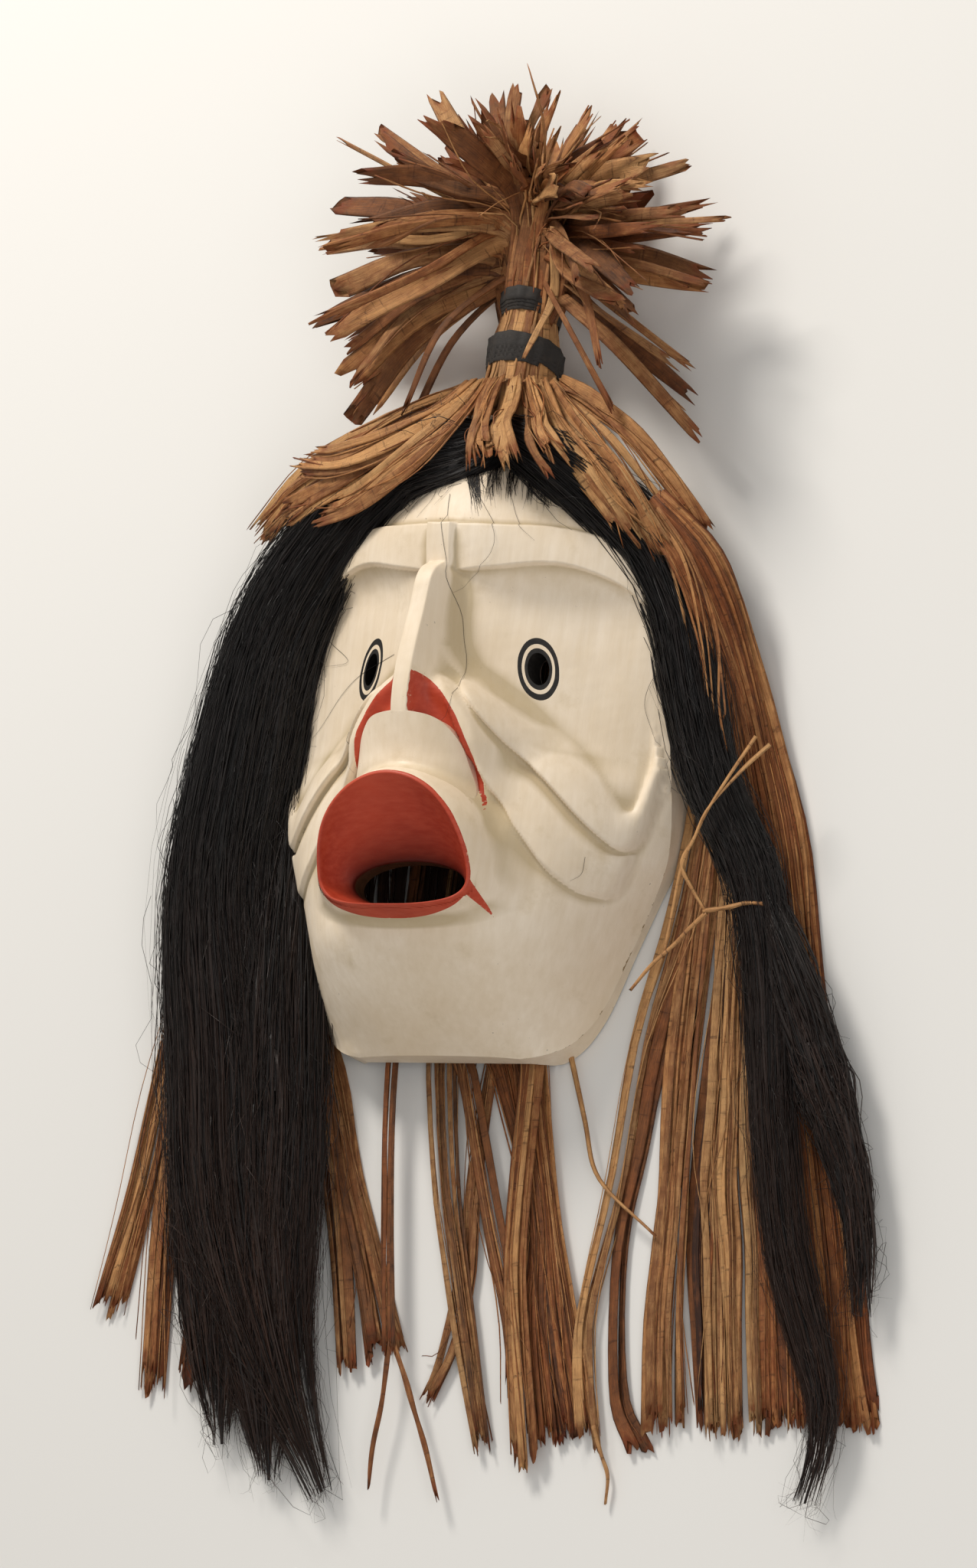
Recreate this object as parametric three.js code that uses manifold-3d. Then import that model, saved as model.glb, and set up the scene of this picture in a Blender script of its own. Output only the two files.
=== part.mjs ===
// A carved and painted cedar mask with long dark hair and shredded cedar bark, laid on its back.
// Millimetres. The eye line is y = 0, the crown points to +Y, the face looks to +Z, the back rim is z = 0.
import * as THREE from "three";
import { mergeVertices } from "three/addons/utils/BufferGeometryUtils.js";
import Module from "manifold-3d";

const wasm = await Module();
wasm.setup();

const { lerp, clamp, smoothstep, degToRad } = THREE.MathUtils;

// Driving dimensions of the wooden mask
const CHIN_Y = -206;
const CROWN_Y = 137;
const WALL = 12;
const FACE_ROWS = 44;
const INNER_LINES = [0, 4.6, 8.5, 14, 20, 27, 34, 42, 52];
const OUTER_LINES = 5;
const CROWN_SHRINK_WIDTH = 68;

// Half width of the mask at each height, then the heights of its side edge and of its middle over the rim
const halfWidth = profile([
  [-206, 61], [-201, 68], [-190, 78], [-174, 87], [-143, 98], [-116, 108], [-90, 117], [-45, 117],
  [0, 112], [40, 102], [68, 90], [100, 70], [122, 49], [133, 32], [137, 20],
]);
const edgeHeight = profile([
  [-206, 24], [-195, 14], [-174, 8], [-143, 6], [-116, 7], [-90, 13], [-40, 24], [0, 32], [40, 38], [68, 43],
  [110, 38], [137, 28],
]);
const cheekMiddle = profile([
  [-206, 30], [-195, 44], [-174, 67], [-150, 85], [-116, 84], [-90, 84], [-38, 90], [0, 94], [55, 92],
]);
const foreheadMiddle = profile([[40, 86], [69, 92], [88, 88], [105, 77], [125, 56], [137, 38]]);
const cheekRoundness = profile([
  [-206, 2.6], [-120, 3], [-100, 2.6], [-84, 2.3], [-65, 1.85], [-44, 1.25], [-22, 1.05], [0, 1],
]);
const cheekLean = profile([[-206, 1], [-60, 1], [-44, 1.08], [0, 1.15]]);
const FOREHEAD_ROUNDNESS = 1.7;

// The raised band over the brow, with a keel at its middle, and the cove below it
const browLine = profile([[0, 44], [30, 49], [56, 54], [72, 53], [89, 47], [104, 36]]);
const bandTop = profile([[0, 70], [30, 71.5], [56, 74], [82, 71], [95, 62]]);
const BAND_RISE = 4;
const BAND_EDGE = 2;
const KEEL_HALF_WIDTH = 8.5;
const KEEL_RISE = 3.5;
const COVE = 24;

// The blade of the nose and the wings beside it
const ridgeHeight = profile([
  [-72, 0], [-52, 98], [-39, 114.5], [30, 108.5], [40, 106], [46, 100], [51, 88], [56, 60], [60, 0],
]);
const noseSlope = profile([[-68, 1.3], [-40, 1.2], [-20, 1.55], [5, 2.4], [46, 2.6]]);
const BRIDGE_HALF_WIDTH = 4.6;
const WING = { slope: 0.45, fall: 1.6, fillet: 8 };
const wingTop = profile([
  [-145, -60], [-125, 40], [-105, 80], [-95, 92], [-88, 99], [-77, 103], [-62, 105], [-50, 110.5], [-38, 113],
  [-26, 113], [-17, 109], [-8, 100], [2, 88], [14, 72],
]);
const wingReach = profile([
  [-95, 46], [-77, 44], [-62, 40], [-50, 38], [-38, 33], [-26, 24], [-17, 15], [-8, 9], [2, 6],
]);

// The painted recess round the block of the upper lip: its outer oval, and the inner one hidden by the block
const NOSTRIL = { y: -88, halfWidth: 42.5, height: 73, power: 1.75, depth: 6, ramp: 0.16, overlap: 2 };
const NOSTRIL_INNER = { halfWidth: 36, height: 46, power: 2.3 };

// The block of the upper lip, between the nostrils and the mouth
const LIP_BLOCK = { top: -38.1, base: 53, drum: 46, drumPower: 2.2, foot: -100 };
const lipBlockHalf = profile([
  [-100, 42], [-88, 41.5], [-77, 38.5], [-64, 34.5], [-52, 30.5], [-44, 24], [-40, 16], [-38, 0],
]);
const lipBlockRidge = profile([[-95, 104], [-72, 105], [-60, 107], [-50, 110.5], [-39, 114.5]]);

// The mouth: a flared funnel with an arched rim and a straight lower lip
const MOUTH = { y: -122, halfWidth: 45, top: 48, bottom: 20, lipPower: 2.5, sides: 32 };
const RIM_LAND = 1.03;
const FLANGE = [[1.03, 0], [1.08, -3.5], [1.15, -13], [1.26, -29], [1.4, -46], [1.42, -60]];
const mouthRimHeight = profile([[-142, 97], [-134, 95], [-122, 98], [-98, 110], [-74, 118]]);
const LOWER_LIP_RISE = 8;
const MOUTH_HOLE = { y: -125, halfWidth: 34, height: 13, edge: 80 };

// The carved folds of the cheek: the line above them, the crease between them, the crease below them
const UPPER_LINE = [[15, 4], [48, -22], [73, -39], [86, -53], [100, -70], [104, -68], [107, -45], [106, -18]];
const MIDDLE_LINE = [[8.5, 0], [22, -19], [44, -46], [66, -66], [88, -88], [101, -96], [110, -85], [116, -52]];
const LOWER_LINE = [[33, -60], [50, -84], [67, -108], [78, -118], [88, -122], [99, -116], [109, -84], [117, -60]];
const FOLD_RISE = 6;
const LOWER_FOLD_RISE = 4.5;
const LINE_STEPS = 40;

// The drilled eyes, and the arch of the rim over the neck
const EYE = { x: 51.5, y: -2, halfWidth: 5, halfHeight: 8.8 };
const NECK_ARCH = { halfWidth: 57, height: 14 };

// Hair, bark and bands
const FLOOR = 0.2;
const STRIP_THICKNESS = 2.4;
const LAYER = 3.2;
const GAP = 0.4;
const COVER_GAP = 1;
const COVER_RISE = 4.5;
const CORE = { y0: 139, y1: 220, z: 33 };
const BURST_HUB = { y: 223, z: 36 };

const woodPaint = new THREE.MeshStandardMaterial({ color: 0xeadbc0, roughness: 0.55, metalness: 0 });
const hairMaterial = new THREE.MeshStandardMaterial({ color: 0x17110e, roughness: 0.5, metalness: 0 });
const barkMaterial = new THREE.MeshStandardMaterial({ color: 0x97633a, roughness: 0.85, metalness: 0 });
const bandMaterial = new THREE.MeshStandardMaterial({ color: 0x35302c, roughness: 0.7, metalness: 0 });

// A smooth curve of one number through a few given places, level beyond its ends
function profile(points) {
  const last = points.length - 1;
  const slopes = points.map((_, i) => {
    const before = points[Math.max(i - 1, 0)];
    const after = points[Math.min(i + 1, last)];
    return (after[1] - before[1]) / (after[0] - before[0]);
  });
  return (at) => {
    if (at <= points[0][0]) return points[0][1];
    if (at >= points[last][0]) return points[last][1];
    const i = points.findIndex((p) => p[0] > at) - 1;
    const [from, a] = points[i];
    const [to, b] = points[i + 1];
    const span = to - from;
    const s = (at - from) / span;
    const ease = s * s * (3 - 2 * s);
    return lerp(a, b, ease) + span * s * (1 - s) * ((1 - s) * slopes[i] - s * slopes[i + 1]);
  };
}

// The larger of two heights, with a fillet where they meet
function softMax(a, b, fillet) {
  const h = Math.max(fillet - Math.abs(a - b), 0) / fillet;
  return Math.max(a, b) + (h * h * fillet) / 4;
}

function arch(across, edge, middle, roundness, lean) {
  return edge + (middle - edge) * Math.max(1 - across ** roundness, 0) ** lean;
}

function cheekHeight(side, y) {
  const across = Math.min(side / halfWidth(y), 1);
  return arch(across, edgeHeight(y), cheekMiddle(y), cheekRoundness(y), cheekLean(y));
}

function foreheadHeight(side, y) {
  const across = Math.min(side / halfWidth(y), 1);
  const rise = BAND_RISE * (1 - smoothstep(y, bandTop(side) - BAND_EDGE, bandTop(side) + BAND_EDGE));
  const keel = KEEL_RISE * (1 - smoothstep(side, KEEL_HALF_WIDTH - 3, KEEL_HALF_WIDTH));
  const inBand = rise / BAND_RISE;
  return arch(across, edgeHeight(y), foreheadMiddle(y), FOREHEAD_ROUNDNESS, 1) + rise + keel * inBand;
}

// The forehead above the brow, and below it the cheek with a cove that rises to the brow
function planeHeight(side, y) {
  const brow = browLine(side);
  if (y >= brow) return foreheadHeight(side, y);
  const cheek = cheekHeight(side, y);
  const below = clamp((brow - y) / COVE, 0, 1);
  const step = Math.max(foreheadHeight(side, brow) - cheekHeight(side, brow), 0);
  return cheek + step * (1 - below) ** 3;
}

function noseHeight(side, y) {
  return ridgeHeight(y) - noseSlope(y) * Math.max(side - BRIDGE_HALF_WIDTH, 0);
}

function wingHeight(side, y) {
  const reach = wingReach(y);
  return wingTop(y) - WING.slope * Math.min(side, reach) - WING.fall * Math.max(side - reach, 0);
}

const smoothLine = (points) =>
  new THREE.SplineCurve(points.map(([x, y]) => new THREE.Vector2(x, y))).getPoints(LINE_STEPS);

const upperLine = smoothLine(UPPER_LINE);
const middleLine = smoothLine(MIDDLE_LINE);
const lowerLine = smoothLine(LOWER_LINE);

function distanceToLine(line, x, y) {
  let best = Infinity;
  for (let i = 1; i < line.length; i++) {
    const a = line[i - 1];
    const b = line[i];
    const length2 = (b.x - a.x) ** 2 + (b.y - a.y) ** 2;
    const t = clamp(((x - a.x) * (b.x - a.x) + (y - a.y) * (b.y - a.y)) / length2, 0, 1);
    best = Math.min(best, Math.hypot(x - lerp(a.x, b.x, t), y - lerp(a.y, b.y, t)));
  }
  return best;
}

function insideLoop(loop, x, y) {
  let inside = false;
  for (let i = 0, j = loop.length - 1; i < loop.length; j = i++) {
    const a = loop[i];
    const b = loop[j];
    if (a.y > y !== b.y > y && x < ((b.x - a.x) * (y - a.y)) / (b.y - a.y) + a.x) inside = !inside;
  }
  return inside;
}

const upperFold = [...upperLine, ...middleLine.slice().reverse()];
const lowerFold = [...middleLine, ...lowerLine.slice().reverse()];

// A fold swells from its upper line and drops off at its lower one
function foldRise(loop, above, below, rise, side, y) {
  if (!insideLoop(loop, side, y)) return 0;
  const fromTop = distanceToLine(above, side, y);
  const fromFoot = distanceToLine(below, side, y);
  const place = fromTop / (fromTop + fromFoot + 1e-6);
  const fade = smoothstep(side, 8, 34);
  return rise * fade * Math.sin((Math.min(place / 0.72, 1) * Math.PI) / 2) * smoothstep(fromFoot, 0, 2.6);
}

// The face with its nose and folds, before the nostrils, the upper lip and the mouth
function carvedHeight(side, y) {
  const upper = foldRise(upperFold, upperLine, middleLine, FOLD_RISE, side, y);
  const lower = foldRise(lowerFold, middleLine, lowerLine, LOWER_FOLD_RISE, side, y);
  const base = softMax(planeHeight(side, y), wingHeight(side, y), WING.fillet);
  return softMax(base, noseHeight(side, y), 4) + upper + lower;
}

// On an oval of a given power, how far up it is at a share of its width, or the other way round
const roundedPartner = (share, power) => Math.max(1 - share ** power, 0) ** (1 / power);

function nostrilSpan(side, y) {
  const [across, up] = [side / NOSTRIL.halfWidth, Math.abs(y - NOSTRIL.y) / NOSTRIL.height];
  return (across ** NOSTRIL.power + up ** NOSTRIL.power) ** (1 / NOSTRIL.power);
}

// The floor of the painted recess beside the columella, which deepens from its outer edge
function nostrilFloor(x, y) {
  const side = Math.abs(x);
  return carvedHeight(side, y) - NOSTRIL.depth * smoothstep(1 - nostrilSpan(side, y), 0, NOSTRIL.ramp);
}

function lipBlockHeight(x, y) {
  const across = Math.min(Math.abs(x) / LIP_BLOCK.drum, 1);
  return LIP_BLOCK.base + (lipBlockRidge(y) - LIP_BLOCK.base) * roundedPartner(across, LIP_BLOCK.drumPower);
}

// A place on the mouth's rim: an arch above its middle line, a flatter lower lip below
function mouthPlace(angle, span) {
  const s = Math.sin(angle);
  const c = Math.cos(angle);
  if (c >= 0) return [MOUTH.halfWidth * s * span, MOUTH.y + MOUTH.top * c * span];
  const power = 2 / MOUTH.lipPower;
  const x = MOUTH.halfWidth * Math.sign(s) * Math.abs(s) ** power;
  return [x * span, MOUTH.y - MOUTH.bottom * Math.abs(c) ** power * span];
}

function mouthRim(angle) {
  const [x, y] = mouthPlace(angle, 1);
  const low = smoothstep(MOUTH.y - y, 0, MOUTH.bottom);
  return mouthRimHeight(y) + LOWER_LIP_RISE * low * (1 - (x / MOUTH.halfWidth) ** 2);
}

// The hollow follows the face without its carving, a wall's thickness lower
function hollowHeight(x, y) {
  const side = Math.abs(x);
  const brow = browLine(side);
  const mix = smoothstep(y, brow - COVE, brow + COVE);
  const across = Math.min(side / halfWidth(y), 1);
  const forehead = arch(across, edgeHeight(y), foreheadMiddle(y), FOREHEAD_ROUNDNESS, 1);
  return Math.max(lerp(cheekHeight(side, y), forehead, mix) - WALL * 1.15, 4);
}

function solidOf(geometry) {
  const bare = geometry.clone();
  bare.deleteAttribute("normal");
  bare.deleteAttribute("uv");
  const merged = mergeVertices(bare, 1e-4);
  const mesh = new wasm.Mesh({
    numProp: 3,
    vertProperties: merged.attributes.position.array,
    triVerts: new Uint32Array(merged.index.array),
  });
  return new wasm.Manifold(mesh);
}

// Moves each vertex of a geometry to the place that a rule gives for it
function warp(geometry, rule) {
  const position = geometry.attributes.position;
  for (let i = 0; i < position.count; i++) {
    position.setXYZ(i, ...rule(position.getX(i), position.getY(i), position.getZ(i)));
  }
  return geometry;
}

const unionOf = (solids) => solids.reduce((all, one) => all.add(one));

// Of the bodies that a cut leaves, the largest
function largest(solid) {
  return solid.decompose().reduce((a, b) => (a.volume() > b.volume() ? a : b));
}

// Where a grid line crosses a row: fixed places near the middle, even steps from there to the outline
function lineX(line, half) {
  const inner = INNER_LINES.length - 1;
  const shrink = Math.min(half / CROWN_SHRINK_WIDTH, 1);
  const index = Math.abs(line);
  const last = INNER_LINES[inner] * shrink;
  const x = index <= inner ? INNER_LINES[index] * shrink : lerp(last, half, (index - inner) / OUTER_LINES);
  return Math.sign(line) * x;
}

// A solid between two surfaces over a patch of the plan
function slab(columns, rows, place, top, bottom) {
  const box = new THREE.BoxGeometry(1, 1, 1, columns, rows, 1);
  return solidOf(
    warp(box, (u, v, w) => {
      const [x, y] = place(u + 0.5, v + 0.5);
      return [x, y, (w > 0 ? top : bottom)(x, y)];
    }),
  );
}

// The mask as a full block, from its face without nostrils, upper lip and mouth down to the rim
function maskBlock() {
  const lines = INNER_LINES.length - 1 + OUTER_LINES;
  const place = (u, v) => {
    const y = lerp(CHIN_Y, CROWN_Y, v);
    return [lineX(Math.round((2 * u - 1) * lines), halfWidth(y)), y];
  };
  return slab(2 * lines, FACE_ROWS, place, (x, y) => carvedHeight(Math.abs(x), y), () => 0);
}

// A plain block under a rule for its height, with the mask's outline moved out by grow
function plainBlock(grow, columns, rows, height) {
  const below = -5;
  const place = (u, v) => {
    const y = lerp(CHIN_Y - grow, CROWN_Y + grow, v);
    return [(2 * u - 1) * (halfWidth(y) + grow), y];
  };
  return slab(columns, rows, place, height, () => below);
}

function lipBlock() {
  const sink = 40;
  const place = (u, v) => {
    const y = lerp(LIP_BLOCK.foot, LIP_BLOCK.top, Math.sin((v * Math.PI) / 2));
    return [(2 * u - 1) * lipBlockHalf(y), y];
  };
  return slab(10, 8, place, lipBlockHeight, () => sink);
}

function nostrilCutter(side) {
  const above = 150;
  const reach = NOSTRIL.halfWidth * 0.997 - BRIDGE_HALF_WIDTH;
  const place = (u, v) => {
    const x = BRIDGE_HALF_WIDTH + reach * Math.sin((u * Math.PI) / 2);
    const outer = NOSTRIL.y + NOSTRIL.height * roundedPartner(x / NOSTRIL.halfWidth, NOSTRIL.power);
    const share = roundedPartner(Math.min(x / NOSTRIL_INNER.halfWidth, 1), NOSTRIL_INNER.power);
    const inner = NOSTRIL.y + NOSTRIL_INNER.height * share;
    return [x, lerp(Math.min(inner, outer) - NOSTRIL.overlap, outer, v)];
  };
  const cutter = slab(7, 3, place, () => above, nostrilFloor);
  return side > 0 ? cutter : cutter.mirror([1, 0, 0]);
}

// A closed stack of rings round the mouth, each given as a rule from angle to place
function ringStack(rings) {
  const drum = new THREE.CylinderGeometry(1, 1, rings.length - 1, MOUTH.sides, rings.length - 1);
  return solidOf(
    warp(drum, (u, v, w) => {
      const ring = rings[Math.round(v + (rings.length - 1) / 2)];
      const [x, y, z] = ring(Math.atan2(u, -w));
      const reach = Math.min(Math.hypot(u, w), 1);
      return [x * reach, lerp(MOUTH.y, y, reach), z];
    }),
  );
}

// The flared outside of the mouth, full inside
function mouthFlange() {
  return ringStack(
    FLANGE.toReversed().map(([span, drop]) => (angle) => [...mouthPlace(angle, span), mouthRim(angle) + drop]),
  );
}

// The space of the mouth: the hole through the wood, the funnel over it and the air before the rim
function mouthFunnel() {
  const hole = (angle, z) => {
    const x = MOUTH_HOLE.halfWidth * Math.sin(angle);
    return [x, MOUTH_HOLE.y + MOUTH_HOLE.height * Math.cos(angle), z];
  };
  const between = (angle) => {
    const [x0, y0, z0] = hole(angle, MOUTH_HOLE.edge);
    const [x1, y1] = mouthPlace(angle, 1);
    return [lerp(x0, x1, 0.45), lerp(y0, y1, 0.45), lerp(z0, mouthRim(angle), 0.35)];
  };
  return ringStack([
    (angle) => hole(angle, -10),
    (angle) => hole(angle, MOUTH_HOLE.edge),
    between,
    (angle) => [...mouthPlace(angle, 1), mouthRim(angle)],
    (angle) => [...mouthPlace(angle, RIM_LAND), mouthRim(angle) + 25],
  ]);
}

function ovalCutter(x, y, halfAcross, halfUp, bottom, top, sides) {
  const drum = new THREE.CylinderGeometry(1, 1, top - bottom, sides);
  drum.rotateX(Math.PI / 2);
  drum.scale(halfAcross, halfUp, 1);
  drum.translate(x, y, (top + bottom) / 2);
  return solidOf(drum);
}

function boxSolid(x0, x1, y0, y1, z0, z1) {
  const box = new THREE.BoxGeometry(x1 - x0, y1 - y0, z1 - z0);
  box.translate((x0 + x1) / 2, (y0 + y1) / 2, (z0 + z1) / 2);
  return solidOf(box);
}

function maskFace() {
  const above = 150;
  const below = -10;
  const { halfWidth: neck, height } = NECK_ARCH;
  let mask = maskBlock().subtract(nostrilCutter(1)).subtract(nostrilCutter(-1));
  mask = mask.add(lipBlock()).add(mouthFlange()).subtract(mouthFunnel());
  mask = mask.subtract(plainBlock(-WALL, 12, 16, hollowHeight));
  mask = mask.subtract(boxSolid(-neck, neck, CHIN_Y - WALL, CHIN_Y + 3 * WALL, below, height));
  for (const side of [-1, 1]) {
    mask = mask.subtract(ovalCutter(side * EYE.x, EYE.y, EYE.halfWidth, EYE.halfHeight, below, above, 16));
  }
  return mask;
}

// A repeatable spread of numbers from 0 to 1 for small irregularities
function spread(seed) {
  let state = seed;
  return () => {
    state = (state * 16807) % 2147483647;
    return state / 2147483647;
  };
}

const curveThrough = (points) =>
  new THREE.CatmullRomCurve3(points.map((p) => new THREE.Vector3(...p)), false, "centripetal");

// A lock of hair: a flattened tube along a path, with a width and a thickness at each point
function lock(points, grow = 0) {
  const sides = 8;
  const steps = 10;
  const path = curveThrough(points.map((p) => p.slice(0, 3)));
  const last = points.length - 1;
  const size = (key, t) => {
    const i = Math.min(Math.floor(t * last), last - 1);
    return lerp(points[i][key], points[i + 1][key], t * last - i);
  };
  const tube = new THREE.CylinderGeometry(1, 1, 1, sides, steps);
  return solidOf(
    warp(tube, (u, v, w) => {
      const t = clamp(v + 0.5, 0, 1);
      const centre = path.getPoint(t);
      const along = path.getTangent(t);
      const flat = Math.hypot(along.x, along.y);
      const across = u * (size(3, t) + grow);
      const up = w * (size(4, t) + grow);
      return [centre.x + (across * along.y) / flat, centre.y - (across * along.x) / flat, centre.z + up];
    }),
  );
}

// A flat strip of bark along a path, with its widths at even steps of the path
function strip(points, widths, thickness = STRIP_THICKNESS, steps = 4, grow = 0) {
  const path = curveThrough(points);
  const last = widths.length - 1;
  const widthAt = (t) => {
    const i = Math.min(Math.floor(t * last), last - 1);
    return lerp(widths[i], widths[i + 1], t * last - i);
  };
  const box = new THREE.BoxGeometry(1, 1, 1, 1, steps, 1);
  return solidOf(
    warp(box, (u, v, w) => {
      const t = v + 0.5;
      const centre = path.getPoint(t);
      const along = path.getTangent(t);
      const flat = Math.hypot(along.x, along.y);
      const across = u * (widthAt(t) + 2 * grow);
      const lean = w * (thickness + 2 * grow);
      return [
        centre.x + (across * along.y) / flat - (lean * along.z * along.x) / flat,
        centre.y - (across * along.x) / flat - (lean * along.z * along.y) / flat,
        centre.z + lean * flat,
      ];
    }),
  );
}

// Paths of the hair: x, y, z, half width, half thickness
const HAIR_LEFT = [
  [
    [-1.2, 112, 82.5, 20, 8], [-22, 111, 79, 20, 9.5], [-50, 100, 68, 21, 14], [-95, 70, 40, 26, 20],
    [-128, 20, 30, 31, 19], [-140, -50, 26, 35, 18], [-143, -120, 24, 37, 16], [-126, -200, 21, 42, 14],
    [-110, -290, 18, 42, 11], [-82, -370, 14, 22, 7], [-46, -440, 9, 4, 2],
  ],
  [
    [-92, 66, 34, 20, 14], [-136, -10, 26, 29, 15], [-150, -110, 22, 30, 14], [-142, -210, 18, 27, 11],
    [-127, -310, 14, 25, 8], [-118, -370, 12, 16, 5], [-112, -415, 8, 4, 2],
  ],
  [
    [-120, -60, 26, 22, 14], [-110, -150, 24, 26, 14], [-104, -240, 20, 32, 12], [-98, -330, 15, 29, 9],
    [-86, -395, 11, 15, 5], [-80, -434, 8, 4, 2],
  ],
];
const HAIR_RIGHT = [
  [
    [1.2, 112, 82.5, 20, 8], [22, 111, 79, 19, 9.5], [50, 102, 66, 17, 12], [88, 78, 42, 16, 15],
    [113, 40, 30, 15, 14], [127, -5, 27, 14, 12], [142, -50, 24, 12, 10], [163, -85, 22, 11, 9],
    [178, -112, 20, 11, 9], [192, -165, 19, 11, 8], [202, -229, 17, 10, 7], [221, -306, 16, 10, 6],
    [241, -355, 14, 10, 5], [255, -398, 12, 7, 4], [247, -440, 9, 3, 2],
  ],
  [
    [176, -108, 20, 9, 8], [205, -165, 19, 13, 8], [225, -205, 17, 13, 7], [238, -232, 16, 11, 6],
    [253, -268, 14, 8, 5], [262, -300, 13, 5, 4], [268, -340, 12, 3, 2],
  ],
];

// The hanging bark, by bundles: x, y, height over the floor and width, from the crown down to the cut ends
const RIGHT_BUNDLES = [
  { count: 1, layer: 2, line: [
    [129, -20, 0, 8], [130, -70, 0, 9], [125, -124, 0, 12], [112, -188, 0, 14], [108, -265, 0, 13], [99, -332, 0, 10],
    [101, -361, 0, 10], [112, -408, 0, 10],
  ] },
  { count: 2, layer: 1, line: [
    [134, -20, 0, 10], [136, -103, 0, 15], [136, -187, 0, 19], [138, -226, 0, 18], [141, -265, 0, 16],
    [143, -295, 0, 17], [146, -342, 0, 22], [154, -396, 0, 27],
  ] },
  { count: 3, layer: 1, line: [
    [152, -76, 0, 15], [157, -103, 0, 19], [165, -187, 0, 22], [169, -226, 0, 22], [173, -265, 0, 27],
    [181, -303, 0, 30], [187, -342, 0, 30], [197, -396, 0, 32],
  ] },
  { count: 4, layer: 0, line: [
    [134, 64, 22, 17], [152, 20, 12, 22], [161, -17, 4, 26], [176, -79, 0, 30], [189, -145, 0, 38],
    [205, -208, 0, 45], [228, -303, 0, 56], [240, -360, 0, 61], [248, -394, 0, 65],
  ] },
];
const LEFT_BUNDLES = [
  { count: 1, layer: 0, line: [
    [-126, 69, 0, 16], [-146, 2, 0, 18], [-166, -85, 0, 20], [-174, -145, 0, 18], [-182, -205, 0, 14],
    [-188, -272, 0, 12], [-199, -341, 0, 14],
  ] },
  { count: 2, layer: 1, line: [
    [-118, 66, 0, 16], [-136, 0, 0, 18], [-150, -85, 0, 19], [-158, -145, 0, 20], [-166, -205, 0, 19],
    [-168, -290, 0, 18], [-164, -380, 0, 18],
  ] },
  { count: 2, layer: 1, line: [
    [-130, -66, 0, 12], [-136, -110, 0, 18], [-134, -200, 0, 28], [-130, -290, 0, 32], [-128, -376, 0, 36],
  ] },
  { count: 1, layer: 1, line: [
    [-117, -120, 0, 7], [-106, -160, 0, 9], [-88, -205, 0, 11], [-72, -260, 0, 10], [-58, -310, 0, 9],
    [-44, -370, 0, 9],
  ] },
  { count: 1, layer: 0, line: [
    [-112, -142, 0, 7], [-99, -176, 0, 9], [-78, -215, 0, 13], [-58, -270, 0, 15], [-38, -320, 0, 17],
    [-23, -361, 0, 23],
  ] },
];
const CENTRE_BUNDLES = [
  { count: 1, layer: 1, line: [
    [-16, 100, 0, 13], [-14, -60, 0, 13], [-13, -183, 0, 15], [1, -264, 0, 12], [14, -312, 0, 10], [29, -360, 0, 10],
    [48, -412, 0, 9],
  ] },
  { count: 1, layer: 2, line: [
    [-4, 100, 0, 9], [-4, -60, 0, 9], [-1, -191, 0, 9], [6, -212, 0, 9], [31, -283, 0, 9], [52, -341, 0, 8],
    [61, -382, 0, 8],
  ] },
  { count: 4, layer: 2, line: [
    [17, 100, 0, 28], [19, -60, 0, 28], [28, -183, 0, 35], [38, -206, 0, 31], [63, -283, 0, 17], [74, -341, 0, 32],
    [92, -403, 0, 40],
  ] },
  { count: 1, layer: 3, line: [
    [30, 100, 0, 10], [36, -60, 0, 10], [44, -192, 0, 10], [46, -217, 0, 10], [50, -284, 0, 10], [55, -332, 0, 10],
    [73, -418, 0, 10],
  ] },
];
const CROSSING = { count: 1, layer: 0, line: [
  [14, 60, 0, 11], [18, -80, 0, 11], [20, -182, 0, 11], [19, -273, 0, 11], [22, -322, 0, 11], [17, -360, 0, 11],
  [8, -387, 0, 11],
] };
const BUNDLE_ENDS = 9;
const NEIGHBOUR_LAP = 0.5;

// The strips of a bundle lie side by side, every second one a layer higher or lower
function bundle({ count, layer, line }, random) {
  return Array.from({ length: count }, (_, k) => {
    const share = (k + 0.5) / count - 0.5;
    const level = k % 2 === 0 ? layer : layer + (layer > 0 ? -1 : 1);
    const end = BUNDLE_ENDS * (random() - 0.5);
    const points = line.map(([x, y, rise, width], i) => {
      const [x0, y0] = line[Math.max(i - 1, 0)];
      const [x1, y1] = line[Math.min(i + 1, line.length - 1)];
      const long = Math.hypot(x1 - x0, y1 - y0);
      const [dx, dy] = [(x1 - x0) / long, (y1 - y0) / long];
      const further = i === line.length - 1 ? end : 0;
      const z = FLOOR + STRIP_THICKNESS / 2 + level * LAYER + rise;
      return [x - dy * width * share + dx * further, y + dx * width * share + dy * further, z];
    });
    const widths = line.map(([, , , width]) => width / count + (count > 1 ? NEIGHBOUR_LAP : 0));
    return strip(points, widths, STRIP_THICKNESS, line.length - 1);
  });
}

function curtain(bundles, seed) {
  const random = spread(seed);
  return bundles.flatMap((one) => bundle(one, random));
}

// The cord of twisted bark left of the middle strips, parted in two thin tails
const CORD_STEM = [[-36, 60, 11], [-37, -80, 11], [-37, -200, 11], [-26, -290, 12], [-15, -366, 12.6]];
const CORD_TAILS = [
  [[-17, -350, 12.6], [-16, -390, 12.6], [-18, -437, 12.6]],
  [[-14, -350, 12.6], [2, -394, 12.6], [24, -440, 12.6]],
];

function barkCord() {
  const tails = CORD_TAILS.map((path) => strip(path, [5, 3], 2, 3));
  return unionOf([strip(CORD_STEM, [8, 7], 2.4, 4), ...tails]);
}

// The bark column on the crown, fluted by its strips, waisted where the bands hold it
const coreRadius = profile([
  [139, 27], [150, 24], [163, 19.8], [176, 18.6], [190, 16.6], [204, 14.2], [212, 14.6], [220, 16.5],
]);
const CORE_FLUTES = 6;

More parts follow.
